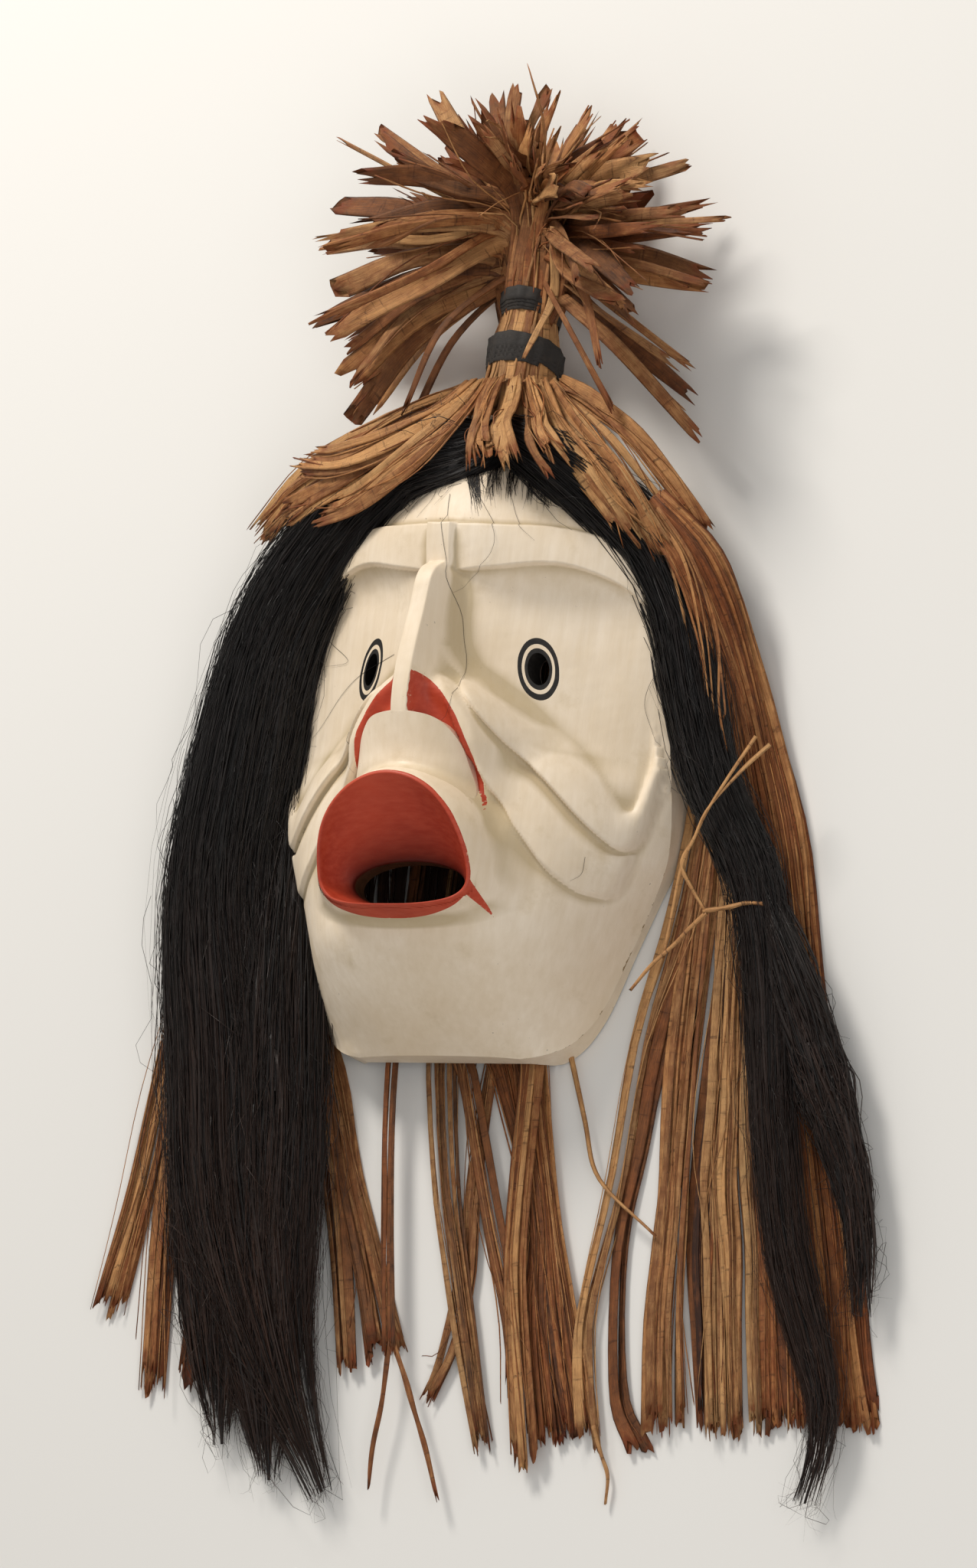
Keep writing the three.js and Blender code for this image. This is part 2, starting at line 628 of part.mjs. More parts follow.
function topknotCore(grow = 0) {
  const drum = new THREE.CylinderGeometry(1, 1, 1, 3 * CORE_FLUTES, 4);
  return solidOf(
    warp(drum, (u, v, w) => {
      const y = lerp(CORE.y0 - grow, CORE.y1 + grow, v + 0.5);
      const angle = Math.atan2(w, u);
      const radius = coreRadius(y) * (1 + 0.035 * Math.cos(CORE_FLUTES * angle)) + grow;
      const reach = Math.hypot(u, w);
      return [Math.cos(angle) * radius * reach, y, CORE.z + Math.sin(angle) * radius * reach];
    }),
  );
}

const BAND_LOWER = { y: 176, width: 17, thickness: 2.5 };
const BAND_UPPER = { y: 204, width: 13, thickness: 2.5 };

function band({ y, width, thickness }) {
  const radius = Math.max(coreRadius(y - width / 2), coreRadius(y + width / 2)) * 1.04 + GAP;
  const outline = [
    [radius, -width / 2], [radius + thickness, -width / 2 + 1], [radius + thickness, width / 2 - 1],
    [radius, width / 2], [radius, -width / 2],
  ];
  const ring = new THREE.LatheGeometry(outline.map((p) => new THREE.Vector2(...p)), 20);
  ring.translate(0, y, CORE.z);
  return solidOf(ring);
}

// The burst of cut ends: fans of strips, each in its own sector of the plan
const FAN_COUNT = 7;
const FAN_SPAN = degToRad(250);
const FAN_LIFTS = [-10, 8, 28, 48].map(degToRad);
const burstReach = profile([[-125, 128], [-90, 126], [-40, 112], [0, 108], [50, 104], [90, 122], [125, 118]]);

function fanStrip(angle, liftAngle, length, width, grow) {
  const start = 6;
  const path = [0, 0.3, 0.65, 1].map((t) => {
    const reach = start + (length - start) * t;
    const lift = liftAngle * (1 - 0.18 * t * t);
    const flat = reach * Math.cos(lift);
    const z = Math.max(BURST_HUB.z + reach * Math.sin(lift), FLOOR + 2 + 2 * t);
    return [Math.sin(angle) * flat, BURST_HUB.y + Math.cos(angle) * flat, z];
  });
  return strip(path, [width * 0.8, width], 3, 2, grow);
}

function sectorWedge(from, to) {
  const far = 400;
  const gap = GAP / 2;
  const middle = (from + to) / 2;
  const tip = gap / Math.sin((to - from) / 2);
  const corner = new THREE.Vector2(Math.sin(middle) * tip, Math.cos(middle) * tip);
  const shape = new THREE.Shape([
    corner,
    new THREE.Vector2(Math.sin(to) * far, Math.cos(to) * far).add(corner),
    new THREE.Vector2(Math.sin(from) * far, Math.cos(from) * far).add(corner),
  ]);
  const wedge = new THREE.ExtrudeGeometry(shape, { depth: 300, bevelEnabled: false });
  wedge.translate(0, BURST_HUB.y, -50);
  return solidOf(wedge);
}

// The space of the upper band and the bundle under it, which no loose end enters
const FAN_COLLAR = { radius: 23.5, y0: 140, y1: 212 };

function fanCollar() {
  const { radius, y0, y1 } = FAN_COLLAR;
  const drum = new THREE.CylinderGeometry(radius, radius, y1 - y0, 20);
  drum.translate(0, (y0 + y1) / 2, CORE.z);
  return solidOf(drum);
}

function topknotFan(index) {
  const random = spread(11 + index * 7);
  const size = FAN_SPAN / FAN_COUNT;
  const from = -FAN_SPAN / 2 + index * size;
  const strips = FAN_LIFTS.flatMap((lift, row) => {
    const inRow = row < 2 ? 2 : 1;
    return Array.from({ length: inRow }, (_, k) => {
      const angle = from + (size * (k + 0.5)) / inRow + (random() - 0.5) * 0.16;
      const reach = burstReach(THREE.MathUtils.radToDeg(angle)) * (0.8 + 0.22 * random());
      return fanStrip(angle, lift + (random() - 0.5) * 0.12, reach, 9 + 5 * random(), 0);
    });
  });
  const fan = unionOf(strips).intersect(sectorWedge(from, from + size));
  return largest(fan.subtract(topknotCore(GAP)).subtract(fanCollar()));
}

// The strips that come down from the lower band over the hair of the crown
const CROWN_BARK = [
  [[-24, 162, 38], [-50, 144, 54], [-82, 126, 58], [-115, 111, 50], [-149, 80, 36]],
  [[-22, 161, 45], [-40, 134, 66], [-70, 115, 70], [-110, 101, 58], [-140, 82, 46]],
  [[-18, 160, 51], [-28, 128, 78], [-54, 104, 86], [-89, 94, 72], [-124, 84, 55]],
  [[-12, 160, 56], [-18, 134, 82], [-42, 116, 92], [-74, 108, 84], [-106, 112, 70]],
  [[-6, 160, 58], [-8, 126, 88], [-30, 103, 95], [-62, 88, 84], [-91, 84, 70]],
  [[1, 160, 60], [5, 141, 76], [12, 121, 92], [18, 102, 96]],
  [[9, 160, 58], [18, 140, 74], [26, 121, 92], [32, 106, 95]],
  [[15, 160, 54], [32, 140, 70], [46, 121, 86], [60, 106, 86]],
  [[19, 160, 48], [48, 128, 68], [78, 98, 70], [98, 73, 58]],
  [[22, 161, 42], [58, 130, 60], [88, 98, 60], [111, 61, 46]],
  [[24, 162, 36], [64, 140, 46], [98, 108, 42], [122, 80, 32]],
];

function crownBark(blockers) {
  const made = CROWN_BARK.map((path) => strip(path, [12, 16], 3, 5));
  const cutters = CROWN_BARK.map((path) => strip(path, [12, 16], 3, 5, GAP));
  return made.map((solid, i) =>
    largest([...blockers, ...cutters.slice(0, i)].reduce((left, one) => left.subtract(one), solid)),
  );
}

// Assembly
const group = new THREE.Group();
const pieces = [];

function addPiece(name, solid, material) {
  pieces.push({ name, solid, material });
}

const maskCutter = plainBlock(COVER_GAP, 28, 40, (x, y) => carvedHeight(Math.abs(x), y) + COVER_RISE);
const underHair = boxSolid(-400, 400, -600, 400, -50, FLOOR + 2 * LAYER + GAP);

function hair(locks) {
  return largest(unionOf(locks.map((points) => lock(points))).subtract(maskCutter).subtract(underHair));
}

const hairLeft = hair(HAIR_LEFT);
const hairRight = hair(HAIR_RIGHT);
const hairCutters = [HAIR_LEFT, HAIR_RIGHT].flatMap((locks) => locks.map((points) => lock(points, GAP)));

addPiece("mask_face", maskFace(), woodPaint);
addPiece("hair_left", hairLeft, hairMaterial);
addPiece("hair_right", hairRight, hairMaterial);
addPiece("topknot_core", topknotCore(), barkMaterial);
addPiece("band_lower", band(BAND_LOWER), bandMaterial);
addPiece("band_upper", band(BAND_UPPER), bandMaterial);
for (let i = 0; i < FAN_COUNT; i++) addPiece(`topknot_fan_${i + 1}`, topknotFan(i), barkMaterial);

const curtains = {
  bark_right: curtain(RIGHT_BUNDLES, 5),
  bark_left: curtain(LEFT_BUNDLES, 6),
  bark_centre: curtain(CENTRE_BUNDLES, 7),
};
for (const [name, strips] of Object.entries(curtains)) {
  strips.forEach((solid, i) => addPiece(`${name}_${i + 1}`, solid, barkMaterial));
}
addPiece("bark_crossing", curtain([CROSSING], 8)[0], barkMaterial);
addPiece("bark_cord", barkCord(), barkMaterial);

const crownBlockers = [maskCutter, ...hairCutters, topknotCore(GAP), boxSolid(-400, 400, 160, 190, 0, 200)];
crownBark(crownBlockers).forEach((solid, i) => addPiece(`crown_bark_${i + 1}`, solid, barkMaterial));

for (const { name, solid, material } of pieces) {
  const made = solid.getMesh();
  const geometry = new THREE.BufferGeometry();
  geometry.setAttribute("position", new THREE.BufferAttribute(new Float32Array(made.vertProperties), 3));
  geometry.setIndex(new THREE.BufferAttribute(new Uint32Array(made.triVerts), 1));
  geometry.computeVertexNormals();
  const mesh = new THREE.Mesh(geometry, material);
  mesh.name = name;
  group.add(mesh);
}

// The origin is the middle of the footprint, on the surface that the mask lies on
const bounds = new THREE.Box3().setFromObject(group);
const middle = bounds.getCenter(new THREE.Vector3());
group.children.forEach((mesh) => mesh.position.set(-middle.x, -middle.y, -bounds.min.z));

export default group;
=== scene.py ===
"""Looks of a carved and painted cedar mask with long dark hair and shredded cedar bark, lying on its back."""

import math

import bpy
import numpy as np
from mathutils import Matrix, Vector

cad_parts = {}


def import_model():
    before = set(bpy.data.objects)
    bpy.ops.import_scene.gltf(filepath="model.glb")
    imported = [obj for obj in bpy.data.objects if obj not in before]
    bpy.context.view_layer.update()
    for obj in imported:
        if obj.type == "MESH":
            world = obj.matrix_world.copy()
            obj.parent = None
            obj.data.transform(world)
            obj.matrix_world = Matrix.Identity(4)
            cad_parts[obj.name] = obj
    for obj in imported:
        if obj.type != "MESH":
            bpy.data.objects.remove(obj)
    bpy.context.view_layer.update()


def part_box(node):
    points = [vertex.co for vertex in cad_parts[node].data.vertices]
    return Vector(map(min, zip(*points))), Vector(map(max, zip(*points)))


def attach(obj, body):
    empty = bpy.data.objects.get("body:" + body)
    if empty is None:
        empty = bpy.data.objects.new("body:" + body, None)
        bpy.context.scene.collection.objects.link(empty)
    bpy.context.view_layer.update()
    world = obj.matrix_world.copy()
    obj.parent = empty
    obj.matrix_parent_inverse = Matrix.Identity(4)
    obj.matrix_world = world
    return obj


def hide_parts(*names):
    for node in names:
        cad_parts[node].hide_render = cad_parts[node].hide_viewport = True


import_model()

# Places below are in millimetres from the mask's own eye line, as in the part's source
MM = 0.001
CHIN_Y = -206
CROWN_Y = 137
LOW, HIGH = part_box("mask_face")
ORIGIN = np.array([(LOW.x + HIGH.x) / 2, LOW.y - CHIN_Y * MM, 0.0])

# The photograph's view in the mask's own axes, and how much it takes in
VIEW_AIM = (12, -57, 32)
VIEW_RIGHT = (0.866, 0.1294, -0.483)
VIEW_UP = (0.0, 0.9659, 0.2588)
VIEW_HEIGHT = 836
VIEW_DISTANCE = 9000
SENSOR = 36


def world(points):
    return ORIGIN + np.asarray(points, float) * MM


def xyz(x, y, z):
    return np.stack(np.broadcast_arrays(x, y, z), -1)


def smoothstep(x, low, high):
    t = np.clip((x - low) / (high - low), 0, 1)
    return t * t * (3 - 2 * t)


def lerp(a, b, t):
    return a + (b - a) * t


def profile(points):
    """A smooth curve of one number through a few places, level beyond its ends."""
    xs, ys = np.array(points, float).T
    before = np.maximum(np.arange(len(xs)) - 1, 0)
    after = np.minimum(np.arange(len(xs)) + 1, len(xs) - 1)
    slopes = (ys[after] - ys[before]) / (xs[after] - xs[before])

    def curve(at):
        i = np.clip(np.searchsorted(xs, at, side="right") - 1, 0, len(xs) - 2)
        span = xs[i + 1] - xs[i]
        s = np.clip((at - xs[i]) / span, 0, 1)
        ease = s * s * (3 - 2 * s)
        bend = span * s * (1 - s) * ((1 - s) * slopes[i] - s * slopes[i + 1])
        return lerp(ys[i], ys[i + 1], ease) + bend

    return curve


def waves(x, y, size, seed):
    """Smooth unevenness between about -1 and 1, made of a few crossing waves."""
    count = 7
    rng = np.random.default_rng(seed)
    total = np.zeros(np.broadcast(x, y).shape)
    for _ in range(count):
        angle, phase = rng.uniform(0, 2 * math.pi, 2)
        length = size * rng.uniform(0.6, 1.7)
        total += np.sin((x * math.cos(angle) + y * math.sin(angle)) * 2 * math.pi / length + phase)
    return total / count * 1.6


def spline(points, count):
    """Evenly timed places on a smooth curve through the given ones."""
    p = np.asarray(points, float)
    p = np.vstack([2 * p[0] - p[1], p, 2 * p[-1] - p[-2]])
    t = np.linspace(0, len(p) - 3, count)
    i = np.minimum(t.astype(int), len(p) - 4)
    f = (t - i)[:, None]
    a, b, c, d = p[i], p[i + 1], p[i + 2], p[i + 3]
    return 0.5 * (2 * b + (c - a) * f + (2 * a - 5 * b + 4 * c - d) * f**2 + (3 * b - a - 3 * c + d) * f**3)


class Patches:
    """Gathers grids of points into one mesh, with named values at each point."""

    def __init__(self, *names):
        self.names = names
        self.points, self.quads, self.values = [], [], {name: [] for name in names}
        self.total = 0

    def numbers(self, shape):
        """The numbers of the next points, laid out as their grid is."""
        return self.total + np.arange(math.prod(shape)).reshape(shape)

    def add(self, points, quads, values):
        shape = points.shape[:-1]
        self.points.append(points.reshape(-1, 3))
        self.quads.append(quads.reshape(-1, 4))
        for name in self.names:
            value = np.broadcast_to(values.get(name, 0), shape)
            self.values[name].append(value.reshape(-1).astype(float))
        self.total += math.prod(shape)

    def grid(self, points, values, wrap=False, keep=None):
        """Adds a grid of points, without the cells that aren't kept."""
        index = self.numbers(points.shape[:2])
        if wrap:
            index = np.hstack([index, index[:, :1]])
        quads = np.stack([index[:-1, :-1], index[:-1, 1:], index[1:, 1:], index[1:, :-1]], -1)
        self.add(points, quads if keep is None else quads[keep], values)

    def tubes(self, points, values):
        """Adds closed tubes, with points by tube, by place along it and by place round it."""
        index = self.numbers(points.shape[:3])
        turned = np.roll(index, -1, axis=2)
        quads = np.stack([index[:, :-1], index[:, 1:], turned[:, 1:], turned[:, :-1]], -1)
        self.add(points, quads, values)

    def build(self, name, material, replaced=()):
        """Makes one piece of everything gathered, in place of the solids that are named last."""
        used, index = np.unique(np.vstack(self.quads), return_inverse=True)
        points = world(np.vstack(self.points))[used]
        mesh = bpy.data.meshes.new(name)
        mesh.from_pydata(points.tolist(), [], index.reshape(-1, 4).tolist())
        for key in self.names:
            layer = mesh.attributes.new(key, "FLOAT", "POINT")
            layer.data.foreach_set("value", np.concatenate(self.values[key])[used].astype(np.float32))
        mesh.shade_smooth()
        mesh.materials.append(material)
        piece = bpy.data.objects.new(name, mesh)
        bpy.context.scene.collection.objects.link(piece)
        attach(piece, "root")
        if replaced:
            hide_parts(*replaced)


def numbered(name, count):
    return [f"{name}_{i}" for i in range(1, count + 1)]


# The carved face, by the same named sizes as in the part's source
WALL = 12
WALL_FROM_ABOVE = 1.15 * WALL
THINNEST_HOLLOW = 4
FOREHEAD_ROUNDNESS = 1.7
BAND_RISE, BAND_EDGE = 4, 0.9
BROW_WALL, BROW_EDGE = 3.2, 1.4
KEEL_HALF_WIDTH, KEEL_RISE = 8.5, 3.5
COVE, COVE_CURVE = 24, 2.6
BRIDGE_HALF_WIDTH, BRIDGE_FILLET = 4.6, 2.2
WING = {"slope": 0.45, "fall": 1.6, "fillet": 9}
NOSTRIL = {"y": -88, "half_width": 42.5, "height": 73, "power": 1.75, "depth": 6, "ramp": 0.16}
LIP_BLOCK = {"top": -38.1, "foot": -100}
SKIRT = {"from": -90, "depth": 24}
DRUM = {"half_width": 46, "power": 2.2, "base": 53}
MOUTH = {"y": -122, "half_width": 45, "top": 48, "bottom": 20, "lip_power": 2.5}
LOWER_LIP_RISE, LOWER_LIP_BAND = 8, 20
SEAM = {"sink": 1.6, "from": 1.165, "to": 1.25}
LIP_CORNER, RIM_PAINT = 46, 0.9
CRESCENT_POINT = ((41.6, -78), (46, -90), 1.1)
RIGHT_CORNER = ((42.5, -126.5), (52, -142), 4.2)
LEFT_CORNER = ((43.5, -127), (48, -132), 2.0)
MOUTH_HOLE = {"y": -125, "half_width": 34, "height": 13, "edge": 80}
EYE = {"x": 51.5, "y": -2, "half_width": 5, "half_height": 8.8, "tilt": math.radians(9)}
EYE_RING = (9.6, 17)
NECK_ARCH = {"half_width": 57, "height": 14, "corner": 3}

half_width = profile([
    (-206, 50), (-204, 59), (-199, 69), (-190, 78), (-174, 87), (-143, 98), (-116, 108), (-90, 117),
    (-45, 117), (0, 112), (40, 102), (68, 90), (100, 70), (122, 49), (133, 32), (137, 20),
])
edge_height = profile([
    (-206, 24), (-195, 14), (-174, 8), (-143, 6), (-116, 7), (-90, 13), (-40, 24), (0, 32), (40, 38),
    (68, 43), (110, 38), (137, 28),
])
cheek_middle = profile([
    (-206, 30), (-195, 44), (-174, 67), (-150, 85), (-116, 84), (-90, 84), (-38, 90), (0, 94), (55, 92),
])
forehead_middle = profile([(40, 86), (69, 92), (88, 88), (105, 77), (125, 56), (137, 38)])
cheek_roundness = profile([
    (-206, 2.6), (-120, 3), (-100, 2.6), (-84, 2.3), (-65, 1.85), (-44, 1.25), (-22, 1.05), (0, 1),
])
cheek_lean = profile([(-206, 1), (-60, 1), (-44, 1.08), (0, 1.15)])
brow_line = profile([(0, 44), (30, 49), (56, 54), (72, 53), (89, 47), (104, 36)])
band_top = profile([(0, 70), (30, 71.5), (56, 74), (82, 71), (95, 62)])
ridge_height = profile([
    (-62, 0), (-47, 88), (-39.5, 114.3), (30, 108.5), (40, 106), (46, 100), (51, 88), (56, 60), (60, 0),
])
nose_slope = profile([(-68, 1.3), (-40, 1.2), (-20, 1.55), (5, 2.4), (46, 2.6)])
wing_top = profile([
    (-145, -60), (-125, 40), (-105, 80), (-95, 92), (-88, 99), (-77, 103), (-62, 105), (-50, 110.5),
    (-38, 113), (-26, 113), (-17, 109), (-8, 100), (2, 88), (14, 72),
])
wing_reach = profile([
    (-95, 46), (-77, 44), (-62, 40), (-50, 38), (-38, 33), (-26, 24), (-17, 15), (-8, 9), (2, 6),
])
lip_block_half = profile([
    (-100, 42), (-88, 41.5), (-77, 38.5), (-64, 34.5), (-52, 30.5), (-44, 24), (-40, 16), (-38, 0),
])
lip_block_ridge = profile([(-95, 104), (-72, 105), (-60, 107), (-50, 110.5), (-39, 114.5)])
mouth_rim_height = profile([(-142, 97), (-134, 95), (-122, 98), (-98, 110), (-74, 118)])
UPPER_LINE = [(15, 4), (48, -22), (73, -39), (86, -53), (100, -70), (104, -68), (107, -45), (106, -18)]
MIDDLE_LINE = [(8.5, 0), (22, -19), (44, -46), (66, -66), (88, -88), (101, -96), (110, -85), (116, -52)]
LOWER_LINE = [
    (33, -60), (50, -84), (67, -108), (78, -118), (88, -122), (99, -116), (109, -84), (117, -60),
]
FOLD_RISE, LOWER_FOLD_RISE = 6, 4.5
FOLD_CREST = 0.72
CREASE_DEPTH, CREASE_WIDTH = 0.7, 1.6


def soft_max(a, b, fillet):
    h = np.maximum(fillet - np.abs(a - b), 0) / fillet
    return np.maximum(a, b) + h * h * fillet / 4


def arch(across, edge, middle, roundness, lean=1.0):
    return edge + (middle - edge) * np.maximum(1 - across**roundness, 0) ** lean


def cheek_height(side, y):
    across = np.minimum(side / half_width(y), 1)
    return arch(across, edge_height(y), cheek_middle(y), cheek_roundness(y), cheek_lean(y))


def dome_height(side, y):
    across = np.minimum(side / half_width(y), 1)
    return arch(across, edge_height(y), forehead_middle(y), FOREHEAD_ROUNDNESS)


def forehead_height(side, y):
    in_band = 1 - smoothstep(y, band_top(side) - BAND_EDGE, band_top(side) + BAND_EDGE)
    keel = KEEL_RISE * (1 - smoothstep(side, KEEL_HALF_WIDTH - 1.5, KEEL_HALF_WIDTH))
    return dome_height(side, y) + (BAND_RISE + keel) * in_band


def plane_height(side, y):
    """The forehead above the brow, and below it the cheek with a cove that rises to the brow."""
    brow = brow_line(side)
    cheek = cheek_height(side, y)
    below = np.clip((brow - y) / COVE, 0, 1)
    step = np.maximum(forehead_height(side, brow) - cheek_height(side, brow), 0)
    wall = np.minimum(BROW_WALL, step)
    drop = wall * smoothstep(brow - y, 0, BROW_EDGE)
    cove = cheek + wall - drop + (step - wall) * (1 - below) ** COVE_CURVE
    return np.where(y >= brow, forehead_height(side, y), cove)


def distance_to_line(line, x, y):
    best = np.full(np.shape(x), 1e9)
    for a, b in zip(line[:-1], line[1:]):
        d = b - a
        t = np.clip(((x - a[0]) * d[0] + (y - a[1]) * d[1]) / (d @ d), 0, 1)
        best = np.minimum(best, np.hypot(x - a[0] - d[0] * t, y - a[1] - d[1] * t))
    return best


def inside_loop(loop, x, y):
    inside = np.zeros(np.shape(x), bool)
    for a, b in zip(loop, np.roll(loop, 1, axis=0)):
        crosses = (a[1] > y) != (b[1] > y)
        rise = b[1] - a[1] if b[1] != a[1] else 1
        inside ^= crosses & (x < (b[0] - a[0]) * (y - a[1]) / rise + a[0])
    return inside


upper_line, middle_line, lower_line = (spline(line, 41) for line in (UPPER_LINE, MIDDLE_LINE, LOWER_LINE))
upper_fold = np.vstack([upper_line, middle_line[::-1]])
lower_fold = np.vstack([middle_line, lower_line[::-1]])


def fold_rise(loop, above, below, rise, side, y):
    """A fold swells from its upper line and drops off at its lower one."""
    from_top = distance_to_line(above, side, y)
    from_foot = distance_to_line(below, side, y)
    share = from_top / (from_top + from_foot + 1e-6)
    swell = np.sin(np.minimum(share / FOLD_CREST, 1) * math.pi / 2) * smoothstep(from_foot, 0, 2.6)
    crease = CREASE_DEPTH * np.exp(-((from_foot / CREASE_WIDTH) ** 2)) * smoothstep(side, 16, 40)
    return np.where(inside_loop(loop, side, y), rise * smoothstep(side, 8, 34) * swell, 0) - crease


def carved_height(side, y):
    upper = fold_rise(upper_fold, upper_line, middle_line, FOLD_RISE, side, y)
    lower = fold_rise(lower_fold, middle_line, lower_line, LOWER_FOLD_RISE, side, y)
    nose = ridge_height(y) - nose_slope(y) * np.maximum(side - BRIDGE_HALF_WIDTH, 0)
    reach = wing_reach(y)
    wing = wing_top(y) - WING["slope"] * np.minimum(side, reach) - WING["fall"] * np.maximum(side - reach, 0)
    base = soft_max(plane_height(side, y), wing, WING["fillet"])
    return soft_max(base, nose, BRIDGE_FILLET) + upper + lower


def nostril_span(side, y):
    power = NOSTRIL["power"]
    up = np.abs(y - NOSTRIL["y"]) / NOSTRIL["height"]
    return ((side / NOSTRIL["half_width"]) ** power + up**power) ** (1 / power)


def mouth_span(x, y):
    up = (y - MOUTH["y"]) / MOUTH["top"]
    down = (MOUTH["y"] - y) / MOUTH["bottom"]
    side = np.abs(x) / MOUTH["half_width"]
    power = MOUTH["lip_power"]
    low = (side**power + np.maximum(down, 0) ** power) ** (1 / power)
    return np.where(y >= MOUTH["y"], np.hypot(side, up), low)


flange_drop = profile([
    (1.0, 0.5), (1.03, 0), (1.08, -4), (1.15, -12), (1.26, -26), (1.4, -42), (1.6, -68), (2.0, -130),
])


def flange_height(x, y):
    """The flared outside of the mouth as a height over the plan."""
    span = np.maximum(mouth_span(x, y), 0.9)
    rim_x, rim_y = x / span, MOUTH["y"] + (y - MOUTH["y"]) / span
    return rim_over_plan(rim_x, rim_y) + flange_drop(span)


def rim_over_plan(x, y):
    low = smoothstep(MOUTH["y"] - y, 0, MOUTH["bottom"])
    return mouth_rim_height(y) + LOWER_LIP_RISE * low * (1 - (x / MOUTH["half_width"]) ** 2)


def drum_height(side, y):
    """The rounded front of the upper lip's block."""
    power = DRUM["power"]
    across = np.minimum(side / DRUM["half_width"], 1)
    return DRUM["base"] + (lip_block_ridge(y) - DRUM["base"]) * (1 - across**power) ** (1 / power)


def mouth_place(angle, span):
    """A place on the mouth's rim: an arch above its middle line, a flatter lower lip below."""
    s, c = np.sin(angle), np.cos(angle)
    power = 2 / MOUTH["lip_power"]
    x = np.where(c >= 0, s, np.sign(s) * np.abs(s) ** power) * MOUTH["half_width"]
    y = np.where(c >= 0, MOUTH["top"] * c, -MOUTH["bottom"] * np.abs(c) ** power)
    return x * span, MOUTH["y"] + y * span


def mouth_rim(angle):
    return rim_over_plan(*mouth_place(angle, 1))


def hollow_height(x, y):
    """The inside of the shell, smoother than its front."""
    side = np.abs(x)
    brow = brow_line(side)
    mix = smoothstep(y, brow - COVE, brow + COVE)
    front = lerp(cheek_height(side, y), dome_height(side, y), mix)
    return np.maximum(front - WALL_FROM_ABOVE, THINNEST_HOLLOW)


def bare_floor(side, y):
    """The carved face with the nostrils sunk into it, without the mouth."""
    depth = NOSTRIL["depth"] * smoothstep(1 - nostril_span(side, y), 0, NOSTRIL["ramp"])
    recessed = (y > NOSTRIL["y"]) & (side > BRIDGE_HALF_WIDTH + 0.3)
    return carved_height(side, y) - np.where(recessed, depth, 0)


def wedge(side, y, start, end, half_width):
    """How many millimetres inside a painted wedge a place is, from its wide start to its point."""
    dx, dy = end[0] - start[0], end[1] - start[1]
    t = np.clip(((side - start[0]) * dx + (y - start[1]) * dy) / (dx * dx + dy * dy), 0, 1)
    return half_width * (1 - t) - np.hypot(side - start[0] - dx * t, y - start[1] - dy * t)


def lip_paint(x, y):
    """The red on the outside of the mouth: a thin line under the rim, and a band under the lower lip."""
    low = smoothstep(MOUTH["y"] - y, -3, 10)
    band = LOWER_LIP_BAND * low * np.maximum(1 - (x / LIP_CORNER) ** 2, 0)
    return flange_drop(mouth_span(x, y)) + RIM_PAINT + band


def red_field(x, y):
    """How many millimetres inside the red paint a place of the face is, less than zero outside it."""
    side = np.abs(x)
    crescent = (1 - nostril_span(side, y)) * NOSTRIL["half_width"]
    crescent = np.minimum(np.minimum(crescent, y - NOSTRIL["y"]), side - BRIDGE_HALF_WIDTH - 0.2)
    crescent = np.minimum(crescent, bare_floor(side, y) - flange_height(x, y) + 0.5)
    crescent = crescent - np.where(x < 0, 2 * smoothstep(-y, 45, 62), 0)
    point = wedge(side, y, *CRESCENT_POINT)
    corner = np.where(x > 0, wedge(side, y, *RIGHT_CORNER), wedge(side, y, *LEFT_CORNER))
    return np.maximum.reduce([crescent, point, corner, lip_paint(x, y)])


def eye_axes(side, y):
    """Places across and along the oval of the eye, whose top leans to the nose."""
    dx, dy = side - EYE["x"], y - EYE["y"]
    s, c = math.sin(EYE["tilt"]), math.cos(EYE["tilt"])
    return dx * c + dy * s, dy * c - dx * s


def paint_values(x, y):
    across, along = eye_axes(np.abs(x), y)
    eye = np.hypot(across / EYE_RING[0], along / EYE_RING[1])
    return {"red": red_field(x, y) + 0.12 * waves(x, y, 9, 3), "eye": eye + 0.012 * waves(x, y, 7, 4)}


def blur(field, reach):
    """A box blur, run twice, over a grid of numbers."""
    for _ in range(2):
        for axis in (0, 1):
            pad = [(reach, reach) if a == axis else (0, 0) for a in (0, 1)]
            sums = np.cumsum(np.pad(field, pad, mode="edge"), axis=axis)
            sums = np.concatenate([np.zeros_like(np.take(sums, [0], axis)), sums], axis=axis)
            size = 2 * reach + 1
            count = field.shape[axis]
            upper = np.take(sums, np.arange(size, size + count), axis)
            field = (upper - np.take(sums, np.arange(count), axis)) / size
    return field


def hand_worked(x, y):
    """The slight unevenness of a surface cut with knives and painted by hand."""
    return 0.22 * waves(x, y, 46, 1) + 0.1 * waves(x, y * 0.6, 15, 2) + 0.05 * waves(x, y, 6, 5)


def snap_to_oval(x, y, centre, size, tilt=0.0):
    """Moves the grid points just inside an oval hole onto its edge, and says which lie inside it."""
    s, c = math.sin(tilt), math.cos(tilt)
    dx, dy = x - centre[0], y - centre[1]
    span = np.hypot((dx * c + dy * s) / size[0], (dy * c - dx * s) / size[1])
    inside = span < 1
    near = inside & (span > 0.3)
    x = np.where(near, centre[0] + dx / np.maximum(span, 0.3), x)
    y = np.where(near, centre[1] + dy / np.maximum(span, 0.3), y)
    return x, y, inside


def cut_eyes(x, y):
    inside = np.zeros(x.shape, bool)
    for side in (-1, 1):
        centre, size = (side * EYE["x"], EYE["y"]), (EYE["half_width"], EYE["half_height"])
        x, y, hole = snap_to_oval(x, y, centre, size, side * EYE["tilt"])
        inside |= hole
    return x, y, inside


def whole_cells(inside):
    """The cells of a grid with a corner outside a hole."""
    return ~(inside[:-1, :-1] & inside[:-1, 1:] & inside[1:, 1:] & inside[1:, :-1])


